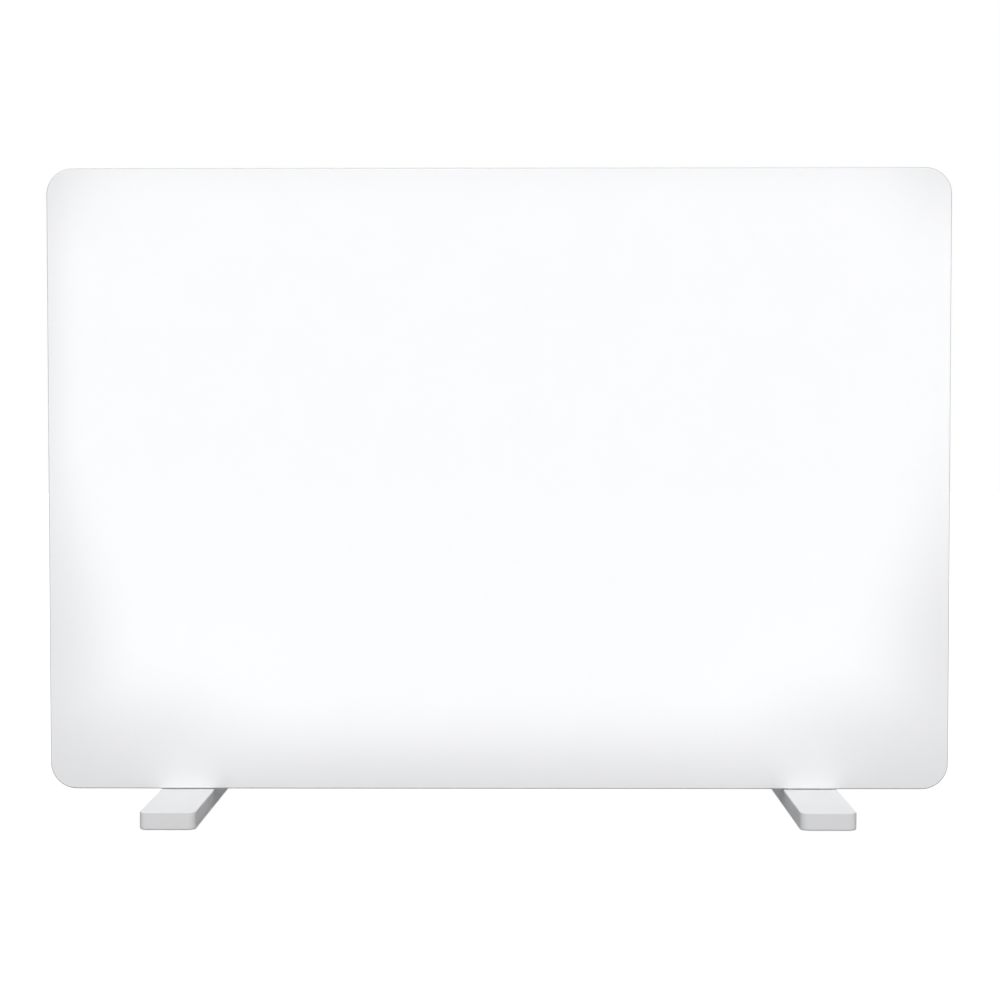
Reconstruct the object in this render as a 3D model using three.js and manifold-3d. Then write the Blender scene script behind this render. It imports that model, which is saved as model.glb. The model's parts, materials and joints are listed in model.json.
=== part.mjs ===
// Glass panel heater: two toughened glass sheets with a foil element between them, standing on two bar feet.
// Millimetres, +Z up. The origin is on the floor, midway between the feet, under the panel's middle plane.
// The front faces -Y, and +X is on the right as seen from the front.
import * as THREE from 'three';
import { mergeVertices } from 'three/addons/utils/BufferGeometryUtils.js';
import Module from 'manifold-3d';

const wasm = await Module();
wasm.setup();

// Fits
const seat = 0.3; // gap left between two pieces that touch
const slip = 0.3; // radial gap round a screw, pin, cap or plug
const through = 1; // how far a cutting shape runs past the face it cuts

// Glass panel
const panelWidth = 785;
const panelHeight = 541;
const panelCorner = 23;
const glassThickness = 4;
const glassArris = 0.8; // ground chamfer along the glass's edges
const panelLift = 0.5; // from the foot's top to the glass's lower edge

// Layers between the two sheets
const sealWidth = 8;
const sealInset = 1; // from the glass's edge to the seal
const matGap = 5; // from the seal to the mica and the felt
const micaThickness = 1.2;
const feltThickness = 1.2;
const filmThickness = 0.4;
const filmInset = 12; // from the mica's edge to the element
const filmTrack = 33; // wished height of one run of the element
const filmGap = 8;
const feedTrack = 30; // width of the upright tracks that the leads join
const leadRadius = 1.5;
const leadSlack = 1; // round a lead in the glass
const leadBend = 5;

// Feet
const footInset = 96.5; // from the glass's side edge to the foot
const footLength = 227;
const footWidth = 47;
const footHeight = 15;
const footCorner = 7;
const footFillet = 1.2;
const footWall = 3;
const endBlock = 30; // solid end of a foot, which holds a pad
const ribThickness = 2.4;
const ribCount = 3;
const ribRise = 2; // from the foot's underside to its ribs and bosses
const padRadius = 9;
const padThickness = 3;
const padProud = 1;
const padFillet = 0.5;

// Rails on the rear glass
const railRise = 24; // from the glass's lower edge to the rail
const railDrop = 57; // from the glass's upper edge to the rail
const railWidth = 38;
const railCrown = 24;
const railDepth = 10;
const railSheet = 1.5;
const keyholeHead = 5.5; // radius that lets a wall screw's head in
const keyholeNeck = 2.8; // half the width of the slot above it
const keyholeLength = 14;
const keyholeDrop = 40; // from the rail's upper end to the head hole
const collarWall = 1.9; // drawn and tapped collars behind the rail's face
const collarDepth = 3;

// Brackets between the rails and the feet
const bracketSheet = 2.5;
const bracketWidth = 34;
const bracketRim = 12; // from the upper thumb screw to the bracket's top
const bracketToe = 15; // from the outer foot screw to the bracket's end
const gussetDrop = 14; // from the bracket's top to the gussets' upper ends
const gussetShelf = 6; // flat stretch at the gussets' upper ends
const gussetNose = 2; // upright stretch at the gussets' lower ends
const thumbShank = 2.4;
const thumbHead = 8;
const thumbHeadLength = 9;
const thumbNeck = 1.5; // stepped collar under a thumb screw's head
const thumbEdge = 1; // chamfer round a thumb screw's head
const thumbRise = 14; // from the rail's lower end to the lower thumb screw
const thumbPitch = 34;
const footScrewShank = 2.4;
const footScrewHead = 4.6;
const footScrewHeadHeight = 2.8;
const footScrewSocket = 1.8;
const footScrewFloor = 4; // from the foot's underside to the screw's bore
const footScrewSetback = 20; // from the bracket's face to the first foot screw
const footScrewPitch = 27;
const footBossWall = 3.3;
const screwTip = 0.7; // bore left past a screw's end, or screw past a collar

// Control unit's casing
const caseSetback = 5.5; // from the glass's side edge to the casing
const caseRise = 104; // from the glass's lower edge to the casing
const caseWall = 2;
const caseCorner = 9;
const caseFillet = 3;
const headroom = 1.3; // from the tallest part on the board to the cover
const trayThickness = 2;
const trayGap = 0.5; // between the tray's rim and the cover
const postInset = 9.5; // from the casing's sides to a cover screw
const postRadius = 4.4;
const coverScrewShank = 1.4;
const coverScrewHead = 2.9;
const coverScrewHeadHeight = 2;
const coverScrewLength = 12;
const coverScrewSlot = { length: 3, width: 0.8, depth: 1.1 };
const counterbore = 3; // depth of the recess over a cover screw
const counterboreFloor = 2;
const slotLength = 44;
const slotWidth = 2.4;
const slotPitch = 6;
const slotInset = 14; // from the main board's ends to the vent slots

// Main board and what it carries
const boardMargin = 6; // from the casing's inner side to the main board
const boardWidth = 56;
const boardHeight = 108;
const boardThickness = 1.6;
const boardPost = 3;
const boardPostHeight = 4;
const boardPostInset = 5;
const boardPin = 1.3; // staked pin on a post's end
const boardPinProud = 0.6;
const relaySize = { x: 19, y: 15.5, z: 16 };
const chokeSize = { x: 22, y: 16.5, z: 24 };
const radioSize = { x: 18, y: 3, z: 25 };
const capacitorRadius = 5;
const capacitorHeight = 15;
const partMargin = 5; // from the main board's sides to its parts
const partRise = 13; // from the main board's lower end to its parts
const partGap = 4; // between parts on the board
const shelfGap = 8; // between rows of fittings up the casing
const lowerBay = 22; // from the casing's floor to the terminal block
const upperBay = 14; // from the main board to the casing's ceiling

// Terminal block and safety parts
const terminalSize = { x: 18, y: 15, z: 40 };
const terminalInset = 8; // from the casing's inner side
const terminalWays = 4;
const terminalWell = { radius: 2.2, depth: 3 };
const terminalEntry = { radius: 2, depth: 3 };
const cutoutRadius = 8;
const cutoutDepth = 9;
const cutoutFlange = 11.5;
const cutoutFlangeThickness = 1;
const cutoutBlade = { width: 6, thickness: 1, length: 5, spread: 4 };
const cutoutOffset = 15; // from the leads to the cut-out, towards the side
const probeRadius = 2.5;
const probeNose = 1.5;
const probeLength = 4.5; // below the casing
const probeFlange = { radius: 4, thickness: 1.2 };
const probeTail = 4;
const probeSetback = 22; // from the casing's outer side to the probe

// Tip-over switch
const tipWidth = 22;
const tipSheet = 1.6;
const tipPin = 1.5;
const tipHub = 3.6;
const tipArm = 14; // from the pin to the weight
const tipArmSize = { x: 4, y: 2.4 };
const tipBob = 4;
const tipBobLength = 11;
const tipClear = 4; // below the weight to the frame's end
const tipRim = 1.8; // above the contact to the frame's end
const tipEar = 3; // from the frame's side to a cheek's inner face
const tipCheek = 5; // half the height of a cheek round the pin
const contactSize = { y: 8, z: 6 };

// Cord gland
const glandSetback = 25; // from the casing's inner side
const glandBore = 4;
const glandBarrel = 6;
const glandFlange = 9;
const glandFlangeHeight = 3;
const glandSleeve = 7;
const glandSleeveTaper = 1.5;
const glandSleeveHeight = 9;
const glandNut = 9;
const glandNutHeight = 4;
const glandThread = 9;

// Keys, display and rocker switch on the casing's side
const keyRadius = 4.5;
const keyProud = 1.2;
const keyEdge = 0.5;
const keyTravel = 0.8;
const keyFlange = 6;
const keyFlangeThickness = 1.2;
const keyStem = 1.7;
const keyStemLength = 1.5;
const keyPitch = 18;
const keyDrop = 14; // from the display to the centre of the key below it
const keyNames = ['mode', 'minus', 'plus', 'standby'];
const keyBoardGap = 4; // from the main board
const keyBoardThickness = 1.6;
const keyBoardRim = 9; // past the lowest key
const keyBoardSetback = 2; // from the cover's inner face
const keyRib = { height: 4, thickness: 1.5, length: 12 };
const tactSize = 6;
const tactBody = 2.8;
const tactPlunger = 1; // height of the plunger over the body
const tactOverrun = 0.2; // left between cap and plunger at full travel
const lensWidth = 13;
const lensHeight = 30;
const lensCorner = 2;
const lensProud = 0.3;
const lensLip = 1.5;
const lensLipThickness = 1;
const lensDrop = 9; // from the main board's upper end to the display
const displayRim = 2.5; // from the display's edge to the module behind it
const rockerRise = 32; // from the casing's underside to the rocker's centre
const rockerFlange = { y: 15, z: 21, corner: 1.5 };
const rockerFlangeHeight = 1.8;
const rockerFlangeEdge = 0.3;
const rockerBody = { y: 12.4, z: 18.6 };
const rockerWall = 1.4;
const rockerWellDepth = 7.5;
const rockerFloor = 5;
const rockerBlade = { width: 4.8, thickness: 0.8, length: 5, spread: 5 };
const rockerPivot = 2.5; // below the casing's side face
const rockerTrunnion = 1.2;
const rockerTrunnionReach = 0.6; // into the housing's wall
const rockerTilt = 10; // degrees either side of the middle
const rockerEndGap = 0.8;
const rockerCrown = 1.8; // above the flange
const rockerDish = 1; // hollow in the middle of the key
const rockerLean = 1.3; // draft of the key's ends
const rockerKeel = 3; // below the pivot

// Places in the panel and the supports
const cavity = filmThickness + micaThickness + feltThickness + 4 * seat;
const panelThickness = 2 * glassThickness + cavity;
const panelRear = panelThickness / 2;
const footTop = padProud + footHeight;
const panelBottom = footTop + panelLift;
const panelMiddle = panelBottom + panelHeight / 2;
const matMargin = sealInset + sealWidth + matGap;
const filmMargin = matMargin + filmInset;
const filmFront = seat - cavity / 2;
const filmRear = filmFront + filmThickness;
const footPlace = panelWidth / 2 - footInset - footWidth / 2;
const padPlace = footLength / 2 - endBlock / 2;
const railLength = panelHeight - railRise - railDrop;
const bracketFace = panelRear + 2 * seat + railDepth;
const bracketReach = footScrewSetback + footScrewPitch + bracketToe;
const footScrewPlaces = [0, 1].map((i) => bracketFace + footScrewSetback + i * footScrewPitch);
const thumbPlaces = [0, 1].map((i) => thumbRise + i * thumbPitch);
const railOverFoot = panelLift + railRise - seat; // from the bracket's underside to the rail
const bracketHeight = railOverFoot + thumbPlaces[1] + bracketRim;

// Places in the control unit, from its lower left corner on the rear glass
const trayTop = seat + trayThickness;
const boardFace = trayTop + boardPostHeight + seat + boardThickness;
const tallest = Math.max(relaySize.y, chokeSize.y, radioSize.y, capacitorHeight);
const coverInner = boardFace + seat + tallest + headroom;
const caseDepth = coverInner + caseWall;
const midDepth = (trayTop + coverInner) / 2;
const boardLeft = caseWall + boardMargin;
const boardRight = boardLeft + boardWidth;
const keyBoardLeft = boardRight + keyBoardGap;
const keyBoardFace = keyBoardLeft + keyBoardThickness;
const plungerTip = keyBoardFace + seat + tactBody + tactPlunger;
const keyInner = plungerTip + keyTravel + tactOverrun;
const sideInner = keyInner + keyStemLength + keyFlangeThickness + seat;
const caseWidth = sideInner + caseWall;
const terminalLow = caseWall + lowerBay;
const terminalHigh = terminalLow + terminalSize.z;
const tipDrop = tipHub + 2 * seat + contactSize.z + tipRim;
const tipLow = terminalHigh + shelfGap;
const tipPivot = tipLow + tipClear + tipBob + tipArm;
const tipHigh = tipPivot + tipDrop;
const tipMiddle = boardLeft + tipWidth / 2;
const boardLow = tipHigh + shelfGap;
const boardHigh = boardLow + boardHeight;
const caseHeight = boardHigh + upperBay + caseWall;
const caseLeft = panelWidth / 2 - caseSetback - caseWidth;
const caseBottom = panelBottom + caseRise;
const leadX = panelWidth / 2 - filmMargin - feedTrack / 2 - caseLeft;
const leadHole = leadRadius + leadSlack;
const terminalWayPitch = terminalSize.z / terminalWays;
const wayHeights = Array.from({ length: terminalWays }, (_, i) => terminalLow + terminalWayPitch * (i + 0.5));
const wayDepth = trayTop + seat + terminalSize.y / 2;
const leadHeights = [wayHeights[1], wayHeights[terminalWays - 1]];
const cutoutPlace = { x: leadX + cutoutOffset, z: leadHeights[1] + cutoutRadius };
const glandPlace = { x: caseWall + glandSetback, y: midDepth };
const probePlace = { x: caseWidth - probeSetback, y: midDepth };
const lensCentre = boardHigh - lensDrop - lensHeight / 2;
const topKey = lensCentre - lensHeight / 2 - keyDrop;
const keyHeights = keyNames.map((_, i) => topKey - keyPitch * (keyNames.length - 1 - i));
const pillarLow = caseDepth - counterbore - counterboreFloor;
const grid = (xs, zs) => zs.flatMap((z) => xs.map((x) => ({ x, z })));
const postPlaces = grid([postInset, caseWidth - postInset], [postInset, caseHeight - postInset]);
const boardPosts = grid(
  [boardLeft + boardPostInset, boardRight - boardPostInset],
  [boardLow + boardPostInset, boardHigh - boardPostInset]);

// Materials
const finish = (color, roughness, metalness = 0) =>
  new THREE.MeshStandardMaterial({ color, roughness, metalness });
const whiteGlass = finish(0xf4f5f7, 0.06);
const silicone = finish(0xd9d9d6, 0.6);
const carbonFoil = finish(0x2b2b2d, 0.5);
const mica = finish(0xc8b48c, 0.6);
const felt = finish(0xe6e2d8, 0.95);
const whitePaint = finish(0xeeeeec, 0.4);
const rubber = finish(0x3a3a3b, 0.85);
const zinc = finish(0xc3c6c9, 0.35, 0.9);
const whitePlastic = finish(0xededeb, 0.45);
const greyPlastic = finish(0xb9bbbd, 0.5);
const blackPlastic = finish(0x1d1d1f, 0.4);
const smokedLens = finish(0x0d0e10, 0.08);
const boardGreen = finish(0x1f5a3a, 0.45);
const redSleeve = finish(0xb3372d, 0.5);
const brass = finish(0xb8963f, 0.3, 0.9);

// Shape helpers

// A closed geometry as a solid for joining and cutting, with its shared vertices merged.
function solidOf(geometry) {
  const bare = new THREE.BufferGeometry();
  bare.setAttribute('position', geometry.getAttribute('position').clone());
  if (geometry.index) bare.setIndex(geometry.index.clone());
  const merged = mergeVertices(bare, 1e-4);
  const triVerts = new Uint32Array(merged.index.array);
  const vertProperties = merged.getAttribute('position').array;
  return new wasm.Manifold(new wasm.Mesh({ numProp: 3, vertProperties, triVerts }));
}

// The geometry of a solid.
function geometryOf(solid) {
  const mesh = solid.getMesh();
  const positions = new Float32Array(mesh.numVert * 3);
  for (let i = 0; i < mesh.numVert; i++) {
    positions.set(mesh.vertProperties.subarray(i * mesh.numProp, i * mesh.numProp + 3), i * 3);
  }
  const geometry = new THREE.BufferGeometry();
  geometry.setAttribute('position', new THREE.BufferAttribute(positions, 3));
  geometry.setIndex(new THREE.BufferAttribute(mesh.triVerts, 1));
  geometry.computeVertexNormals();
  return geometry;
}

const join = (...shapes) =>
  geometryOf(shapes.map(solidOf).reduce((whole, next) => whole.add(next)));
const cut = (shape, ...tools) =>
  geometryOf(tools.map(solidOf).reduce((rest, tool) => rest.subtract(tool), solidOf(shape)));

// A box between two corners.
function block(low, high) {
  const size = high.map((value, i) => value - low[i]);
  const centre = high.map((value, i) => (value + low[i]) / 2);
  return new THREE.BoxGeometry(...size).translate(...centre);
}

// A round bar along x, y or z between two places. Its centre line passes through the given point.
function bar(axis, radius, from, to, centre, sides = 12) {
  const shape = new THREE.CylinderGeometry(radius, radius, to - from, sides);
  if (axis === 'x') shape.rotateZ(-Math.PI / 2);
  if (axis === 'z') shape.rotateX(Math.PI / 2);
  const place = { x: 0, y: 0, z: 0, ...centre, [axis]: (from + to) / 2 };
  return shape.translate(place.x, place.y, place.z);
}

// The outline of a rectangle with round corners about the origin, anticlockwise.
function roundOutline(width, height, radius, steps) {
  const corners = [[1, 1], [-1, 1], [-1, -1], [1, -1]];
  return corners.flatMap(([sideX, sideY], corner) =>
    Array.from({ length: steps + 1 }, (_, step) => {
      const angle = (corner + step / steps) * Math.PI / 2;
      const x = sideX * (width / 2 - radius) + radius * Math.cos(angle);
      const y = sideY * (height / 2 - radius) + radius * Math.sin(angle);
      return [x, y];
    }));
}

// A rounded slab along +Z. Each level is a height and how far its outline is drawn in there.
function slab(width, height, radius, levels, steps = 4) {
  const rings = levels.map(([level, inset]) => {
    const corner = Math.max(radius - inset, 0.1);
    const outline = roundOutline(width - 2 * inset, height - 2 * inset, corner, steps);
    return outline.map(([x, y]) => [x, y, level]);
  });
  const count = rings[0].length;
  const last = (rings.length - 1) * count;
  const index = [];
  for (let i = 0; i < count; i++) {
    const next = (i + 1) % count;
    for (let ring = 0; ring < last; ring += count) {
      index.push(ring + i, ring + next, ring + count + next);
      index.push(ring + i, ring + count + next, ring + count + i);
    }
  }
  for (let i = 1; i < count - 1; i++) {
    index.push(0, i + 1, i, last, last + i, last + i + 1);
  }
  const geometry = new THREE.BufferGeometry();
  geometry.setAttribute('position', new THREE.Float32BufferAttribute(rings.flat(2), 3));
  return geometry.setIndex(index);
}

// A slab with square edges.
const plainSlab = (width, height, radius, low, high, steps) =>
  slab(width, height, radius, [[low, 0], [high, 0]], steps);

// Levels of a quarter-round edge, from the upright side to the flat end.
function filletLevels(from, to, steps = 2) {
  const size = Math.abs(to - from);
  return Array.from({ length: steps + 1 }, (_, step) => {
    const angle = (step / steps) * Math.PI / 2;
    return [from + (to - from) * Math.sin(angle), size * (1 - Math.cos(angle))];
  });
}

// Turns +Z to +Y, keeping the slab's width along X and its height along Z.
const toDepth = (shape) => shape.rotateX(Math.PI / 2).rotateZ(Math.PI);

// Turns +Z to +X, the slab's width to Y and its height to Z.
const toSide = (shape) => shape.rotateX(Math.PI / 2).rotateZ(Math.PI / 2);

// A turned piece along +Z from points of radius and height, from the lower end up.
function turned(profile, sides = 14) {
  const points = profile.map(([radius, height]) => new THREE.Vector2(radius, height));
  return new THREE.LatheGeometry(points, sides).rotateX(Math.PI / 2);
}

// An outline as a flat piece along +Z.
function extruded(outline, depth) {
  const shape = new THREE.Shape(outline.map(([x, y]) => new THREE.Vector2(x, y)));
  return new THREE.ExtrudeGeometry(shape, { depth, bevelEnabled: false });
}

// A screw's head with a sloping crown, standing on z 0.
const screwHead = (radius, height) =>
  turned([[0, 0], [radius, 0], [radius, height / 2], [radius * 0.7, height], [0, height]]);

function place(group, name, geometry, material, x = 0, y = 0, z = 0) {
  const mesh = new THREE.Mesh(geometry, material);
  mesh.name = name;
  mesh.position.set(x, y, z);
  group.add(mesh);
}

// Panel

// A glass sheet with ground edges, its middle at the origin.
function glassSheet() {
  const half = glassThickness / 2;
  const arris = half - glassArris;
  const levels = [[-half, glassArris], [-arris, 0], [arris, 0], [half, glassArris]];
  return toDepth(slab(panelWidth, panelHeight, panelCorner, levels, 8));
}

// Bars along Y that clear the two leads, in the panel's own frame.
const leadBores = () => leadHeights.map((height) => {
  const at = { x: caseLeft + leadX, z: caseBottom + height - panelMiddle };
  return bar('y', leadHole, -panelThickness, panelThickness, at);
});

function edgeSeal() {
  const half = cavity / 2 - seat;
  const width = panelWidth - 2 * sealInset;
  const height = panelHeight - 2 * sealInset;
  const corner = panelCorner - sealInset;
  const ring = plainSlab(width, height, corner, -half, half, 6);
  const innerWidth = width - 2 * sealWidth;
  const innerHeight = height - 2 * sealWidth;
  const hole = plainSlab(innerWidth, innerHeight, corner - sealWidth, -cavity, cavity, 6);
  return cut(toDepth(ring), toDepth(hole));
}

// The foil element: level runs joined end to end into one track, whose two ends rise one over the other
// at the right, where the leads join them.
function heatingFilm() {
  const low = filmMargin - panelHeight / 2;
  const high = panelHeight / 2 - filmMargin;
  const left = filmMargin - panelWidth / 2;
  const right = panelWidth / 2 - filmMargin;
  const runRight = right - feedTrack - filmGap;
  const pairs = Math.max(1, Math.round((high - low) / (filmTrack + filmGap) / 2));
  const runs = 2 * pairs;
  const track = (high - low - (runs - 1) * filmGap) / runs;
  const strip = (x0, x1, z0, z1) => block([x0, 0, z0], [x1, filmThickness, z1]);
  const split = caseBottom + (leadHeights[0] + leadHeights[1]) / 2 - panelMiddle;
  const strips = [
    strip(right - feedTrack, right, low, split - filmGap / 2),
    strip(right - feedTrack, right, split + filmGap / 2, high),
  ];
  for (let run = 0; run < runs; run++) {
    const z = low + run * (track + filmGap);
    const isEnd = run === 0 || run === runs - 1;
    strips.push(strip(left, isEnd ? right : runRight, z, z + track));
    const turn = run % 2 === 0 ? left : runRight - track;
    if (run < runs - 1) strips.push(strip(turn, turn + track, z, z + 2 * track + filmGap));
  }
  return join(...strips);
}

// A flat sheet between the glasses, with holes for the leads.
function matSheet(thickness) {
  const corner = panelCorner - sealInset - sealWidth;
  const sheet = plainSlab(panelWidth - 2 * matMargin, panelHeight - 2 * matMargin, corner, 0, thickness);
  return cut(toDepth(sheet), ...leadBores());
}

function buildPanel() {
  const panel = new THREE.Group();
  panel.position.z = panelMiddle;
  const sheetMiddle = (cavity + glassThickness) / 2;
  const micaFront = filmRear + seat;
  const feltFront = micaFront + micaThickness + seat;
  place(panel, 'front_glass', glassSheet(), whiteGlass, 0, -sheetMiddle);
  place(panel, 'rear_glass', cut(glassSheet(), ...leadBores()), whiteGlass, 0, sheetMiddle);
  place(panel, 'edge_seal', edgeSeal(), silicone);
  place(panel, 'heating_film', heatingFilm(), carbonFoil, 0, filmFront);
  place(panel, 'mica_sheet', matSheet(micaThickness), mica, 0, micaFront);
  place(panel, 'insulation_felt', matSheet(feltThickness), felt, 0, feltFront);
  return panel;
}

// Supports: a rail on the rear glass, a bracket, a foot, its pads and screws

// A bar foot, hollow below between its solid ends, with ribs across and bosses for the bracket's screws.
function foot() {
  const topEdge = filletLevels(footHeight - footFillet, footHeight);
  const lowerEdge = filletLevels(footFillet, 0).reverse();
  const body = slab(footWidth, footLength, footCorner, [...lowerEdge, ...topEdge], 5);
  const pocketTop = footHeight - footWall;
  const pocketWidth = footWidth - 2 * footWall;
  const pocketLength = footLength - 2 * endBlock;
  const pocket = plainSlab(pocketWidth, pocketLength, footCorner - footWall, -through, pocketTop, 2);
  const ribs = Array.from({ length: ribCount }, (_, i) => {
    const y = pocketLength * ((i + 1) / (ribCount + 1) - 0.5);
    const reach = pocketWidth / 2 + through;
    return block([-reach, y - ribThickness / 2, ribRise], [reach, y + ribThickness / 2, pocketTop + through]);
  });
  const boreRadius = footScrewShank + slip;
  const bosses = footScrewPlaces.map((y) =>
    bar('z', boreRadius + footBossWall, ribRise, pocketTop + through, { y }));
  const bores = footScrewPlaces.map((y) =>
    bar('z', boreRadius, footScrewFloor, footHeight + through, { y }, 12));
  const socketDepth = padThickness - padProud + seat;
  const sockets = [-1, 1].map((end) =>
    bar('z', padRadius + slip, -through, socketDepth, { y: end * padPlace }, 20));
  return cut(join(cut(body, pocket), ...ribs, ...bosses), ...bores, ...sockets);
}

const footPad = () => turned([
  [0, 0], [padRadius - padFillet, 0], [padRadius, padFillet], [padRadius, padThickness], [0, padThickness],
], 20);

// A hat-section rail with tapped collars below and a keyhole above. Its flanges lie at y 0, its end at z 0.
function rail() {
  const half = railWidth / 2;
  const crown = railCrown / 2;
  const web = crown - railSheet;
  const face = railDepth - railSheet;
  const outline = [
    [-half, 0], [-web, 0], [-web, face], [web, face], [web, 0], [half, 0],
    [half, railSheet], [crown, railSheet], [crown, railDepth],
    [-crown, railDepth], [-crown, railSheet], [-half, railSheet],
  ];
  const hat = extruded(outline, railLength);
  const boreRadius = thumbShank + slip;
  const collars = thumbPlaces.map((z) =>
    bar('y', boreRadius + collarWall, face - collarDepth, face + railSheet / 2, { z }));
  const bores = thumbPlaces.map((z) => bar('y', boreRadius, 0, railDepth + through, { z }, 12));
  const head = railLength - keyholeDrop;
  const neck = head + keyholeLength;
  const before = face - through;
  const behind = railDepth + through;
  const keyhole = [
    bar('y', keyholeHead, before, behind, { z: head }, 20),
    bar('y', keyholeNeck, before, behind, { z: neck }, 12),
    block([-keyholeNeck, before, head], [keyholeNeck, behind, neck]),
  ];
  return cut(join(hat, ...collars), ...bores, ...keyhole);
}

// An angle with two gussets: its upright face lies at y 0, and its leg rests at z 0.
function bracket() {
  const half = bracketWidth / 2;
  const plate = block([-half, 0, 0], [half, bracketSheet, bracketHeight]);
  const leg = block([-half, 0, 0], [half, bracketReach, bracketSheet]);
  const gussetTop = bracketHeight - gussetDrop;
  const outline = [
    [0, 0], [bracketReach, 0], [bracketReach, bracketSheet + gussetNose],
    [bracketSheet + gussetShelf, gussetTop], [0, gussetTop],
  ];
  const gussets = [-half, half - bracketSheet].map((x) =>
    toSide(extruded(outline, bracketSheet)).translate(x, 0, 0));
  const thumbHoles = thumbPlaces.map((z) =>
    bar('y', thumbShank + slip, -through, bracketSheet + through, { z: railOverFoot + z }, 12));
  const footHoles = footScrewPlaces.map((y) =>
    bar('z', footScrewShank + slip, -through, bracketSheet + through, { y: y - bracketFace }, 12));
  return cut(join(plate, leg, ...gussets), ...thumbHoles, ...footHoles);
}

// A thumb screw along Y, its head behind y 0 and its shank in front.
function thumbScrew() {
  const reach = seat + bracketSheet + seat + railSheet + collarDepth + screwTip;
  const neck = thumbHead - thumbNeck;
  const head = turned([
    [0, 0], [neck, 0], [neck, thumbNeck], [thumbHead, thumbNeck],
    [thumbHead, thumbHeadLength - thumbEdge], [thumbHead - thumbEdge, thumbHeadLength],
    [0, thumbHeadLength],
  ], 16);
  return join(head, bar('z', thumbShank, -reach, through, {}, 12)).rotateX(-Math.PI / 2);
}

// A foot screw along Z with a hexagon socket, its head above z 0.
function footScrew() {
  const reach = 2 * seat + bracketSheet + footHeight - footScrewFloor - screwTip;
  const head = screwHead(footScrewHead, footScrewHeadHeight);
  const socket = bar('z', footScrewSocket, footScrewHeadHeight / 2, footScrewHeadHeight + through, {}, 6);
  return cut(join(head, bar('z', footScrewShank, -reach, through / 2, {}, 12)), socket);
}

function buildSupport(side, name) {
  const support = new THREE.Group();
  support.position.x = side * footPlace;
  place(support, `foot_${name}`, foot(), whitePaint, 0, 0, padProud);
  place(support, `foot_pad_${name}_front`, footPad(), rubber, 0, -padPlace);
  place(support, `foot_pad_${name}_rear`, footPad(), rubber, 0, padPlace);
  place(support, `rail_${name}`, rail(), whitePaint, 0, panelRear + seat, panelBottom + railRise);
  const bracketFoot = footTop + seat;
  place(support, `foot_bracket_${name}`, bracket(), whitePaint, 0, bracketFace, bracketFoot);
  const thumbY = bracketFace + bracketSheet + seat;
  ['lower', 'upper'].forEach((level, i) =>
    place(support, `thumb_screw_${name}_${level}`, thumbScrew(), zinc,
      0, thumbY, bracketFoot + railOverFoot + thumbPlaces[i]));
  ['inner', 'outer'].forEach((end, i) =>
    place(support, `foot_screw_${name}_${end}`, footScrew(), zinc,
      0, footScrewPlaces[i], bracketFoot + bracketSheet + seat));
  return support;
}

// Control unit on the rear glass

// The tray that the casing's fittings stand on, with posts for the cover and the main board.
function controlTray() {
  const inset = caseWall + trayGap;
  const width = caseWidth - 2 * inset;
  const height = caseHeight - 2 * inset;
  const sheet = plainSlab(width, height, caseCorner - inset, 0, trayThickness);
  const plate = toDepth(sheet).translate(caseWidth / 2, seat, caseHeight / 2);
  const root = seat + trayThickness / 2;
  const posts = postPlaces.map((at) => bar('y', postRadius, root, pillarLow - seat, at));
  const pilots = postPlaces.map((at) => bar('y', coverScrewShank + slip, trayTop, caseDepth, at, 10));
  const stands = boardPosts.map((at) => bar('y', boardPost, root, trayTop + boardPostHeight, at, 12));
  const pins = boardPosts.map((at) => bar('y', boardPin, root, boardFace + boardPinProud, at, 10));
  const ribs = keyRibPlaces().flatMap((z) => [
    [keyBoardLeft - slip - keyRib.thickness, keyBoardLeft - slip],
    [keyBoardFace + slip, keyBoardFace + slip + keyRib.thickness],
  ].map(([x0, x1]) => block([x0, root, z], [x1, trayTop + keyRib.height, z + keyRib.length])));
  const leads = leadHeights.map((z) => bar('y', leadHole, 0, trayTop + through, { x: leadX, z }, 12));
  const window = bar('y', cutoutRadius + slip, 0, trayTop + through, cutoutPlace, 20);
  return cut(join(plate, ...posts, ...stands, ...pins, ...ribs), ...pilots, ...leads, window);
}

// Lower ends of the ribs that hold the key board, one pair near each end of it.
const keyRibPlaces = () => [keyHeights[0] - keyRib.length / 2, lensCentre - keyRib.length / 2];

// The cover: a shell open towards the glass, with screw pillars, vent slots and holes for the fittings.
function controlCover() {
  const depth = caseDepth - seat;
  const levels = [[0, 0], ...filletLevels(depth - caseFillet, depth, 3)];
  const outer = toDepth(slab(caseWidth, caseHeight, caseCorner, levels));
  const hollow = plainSlab(
    caseWidth - 2 * caseWall, caseHeight - 2 * caseWall, caseCorner - caseWall, -through, depth - caseWall);
  const shell = cut(outer, toDepth(hollow)).translate(caseWidth / 2, seat, caseHeight / 2);
  const roof = caseDepth + through;
  const pillars = postPlaces.map((at) => bar('y', postRadius, pillarLow, caseDepth - caseWall / 2, at));
  const wells = postPlaces.map((at) => bar('y', coverScrewHead + slip, caseDepth - counterbore, roof, at));
  const bores = postPlaces.map((at) => bar('y', coverScrewShank + slip, pillarLow - through, roof, at, 10));
  const holes = [...ventSlots(), ...keyOpenings(), rockerOpening(),
    bar('z', glandBarrel + slip, -through, caseWall + through, glandPlace, 20),
    bar('z', probeRadius + slip, -through, caseWall + through, probePlace, 12)];
  return cut(join(shell, ...pillars), ...wells, ...bores, ...holes);
}

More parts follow.
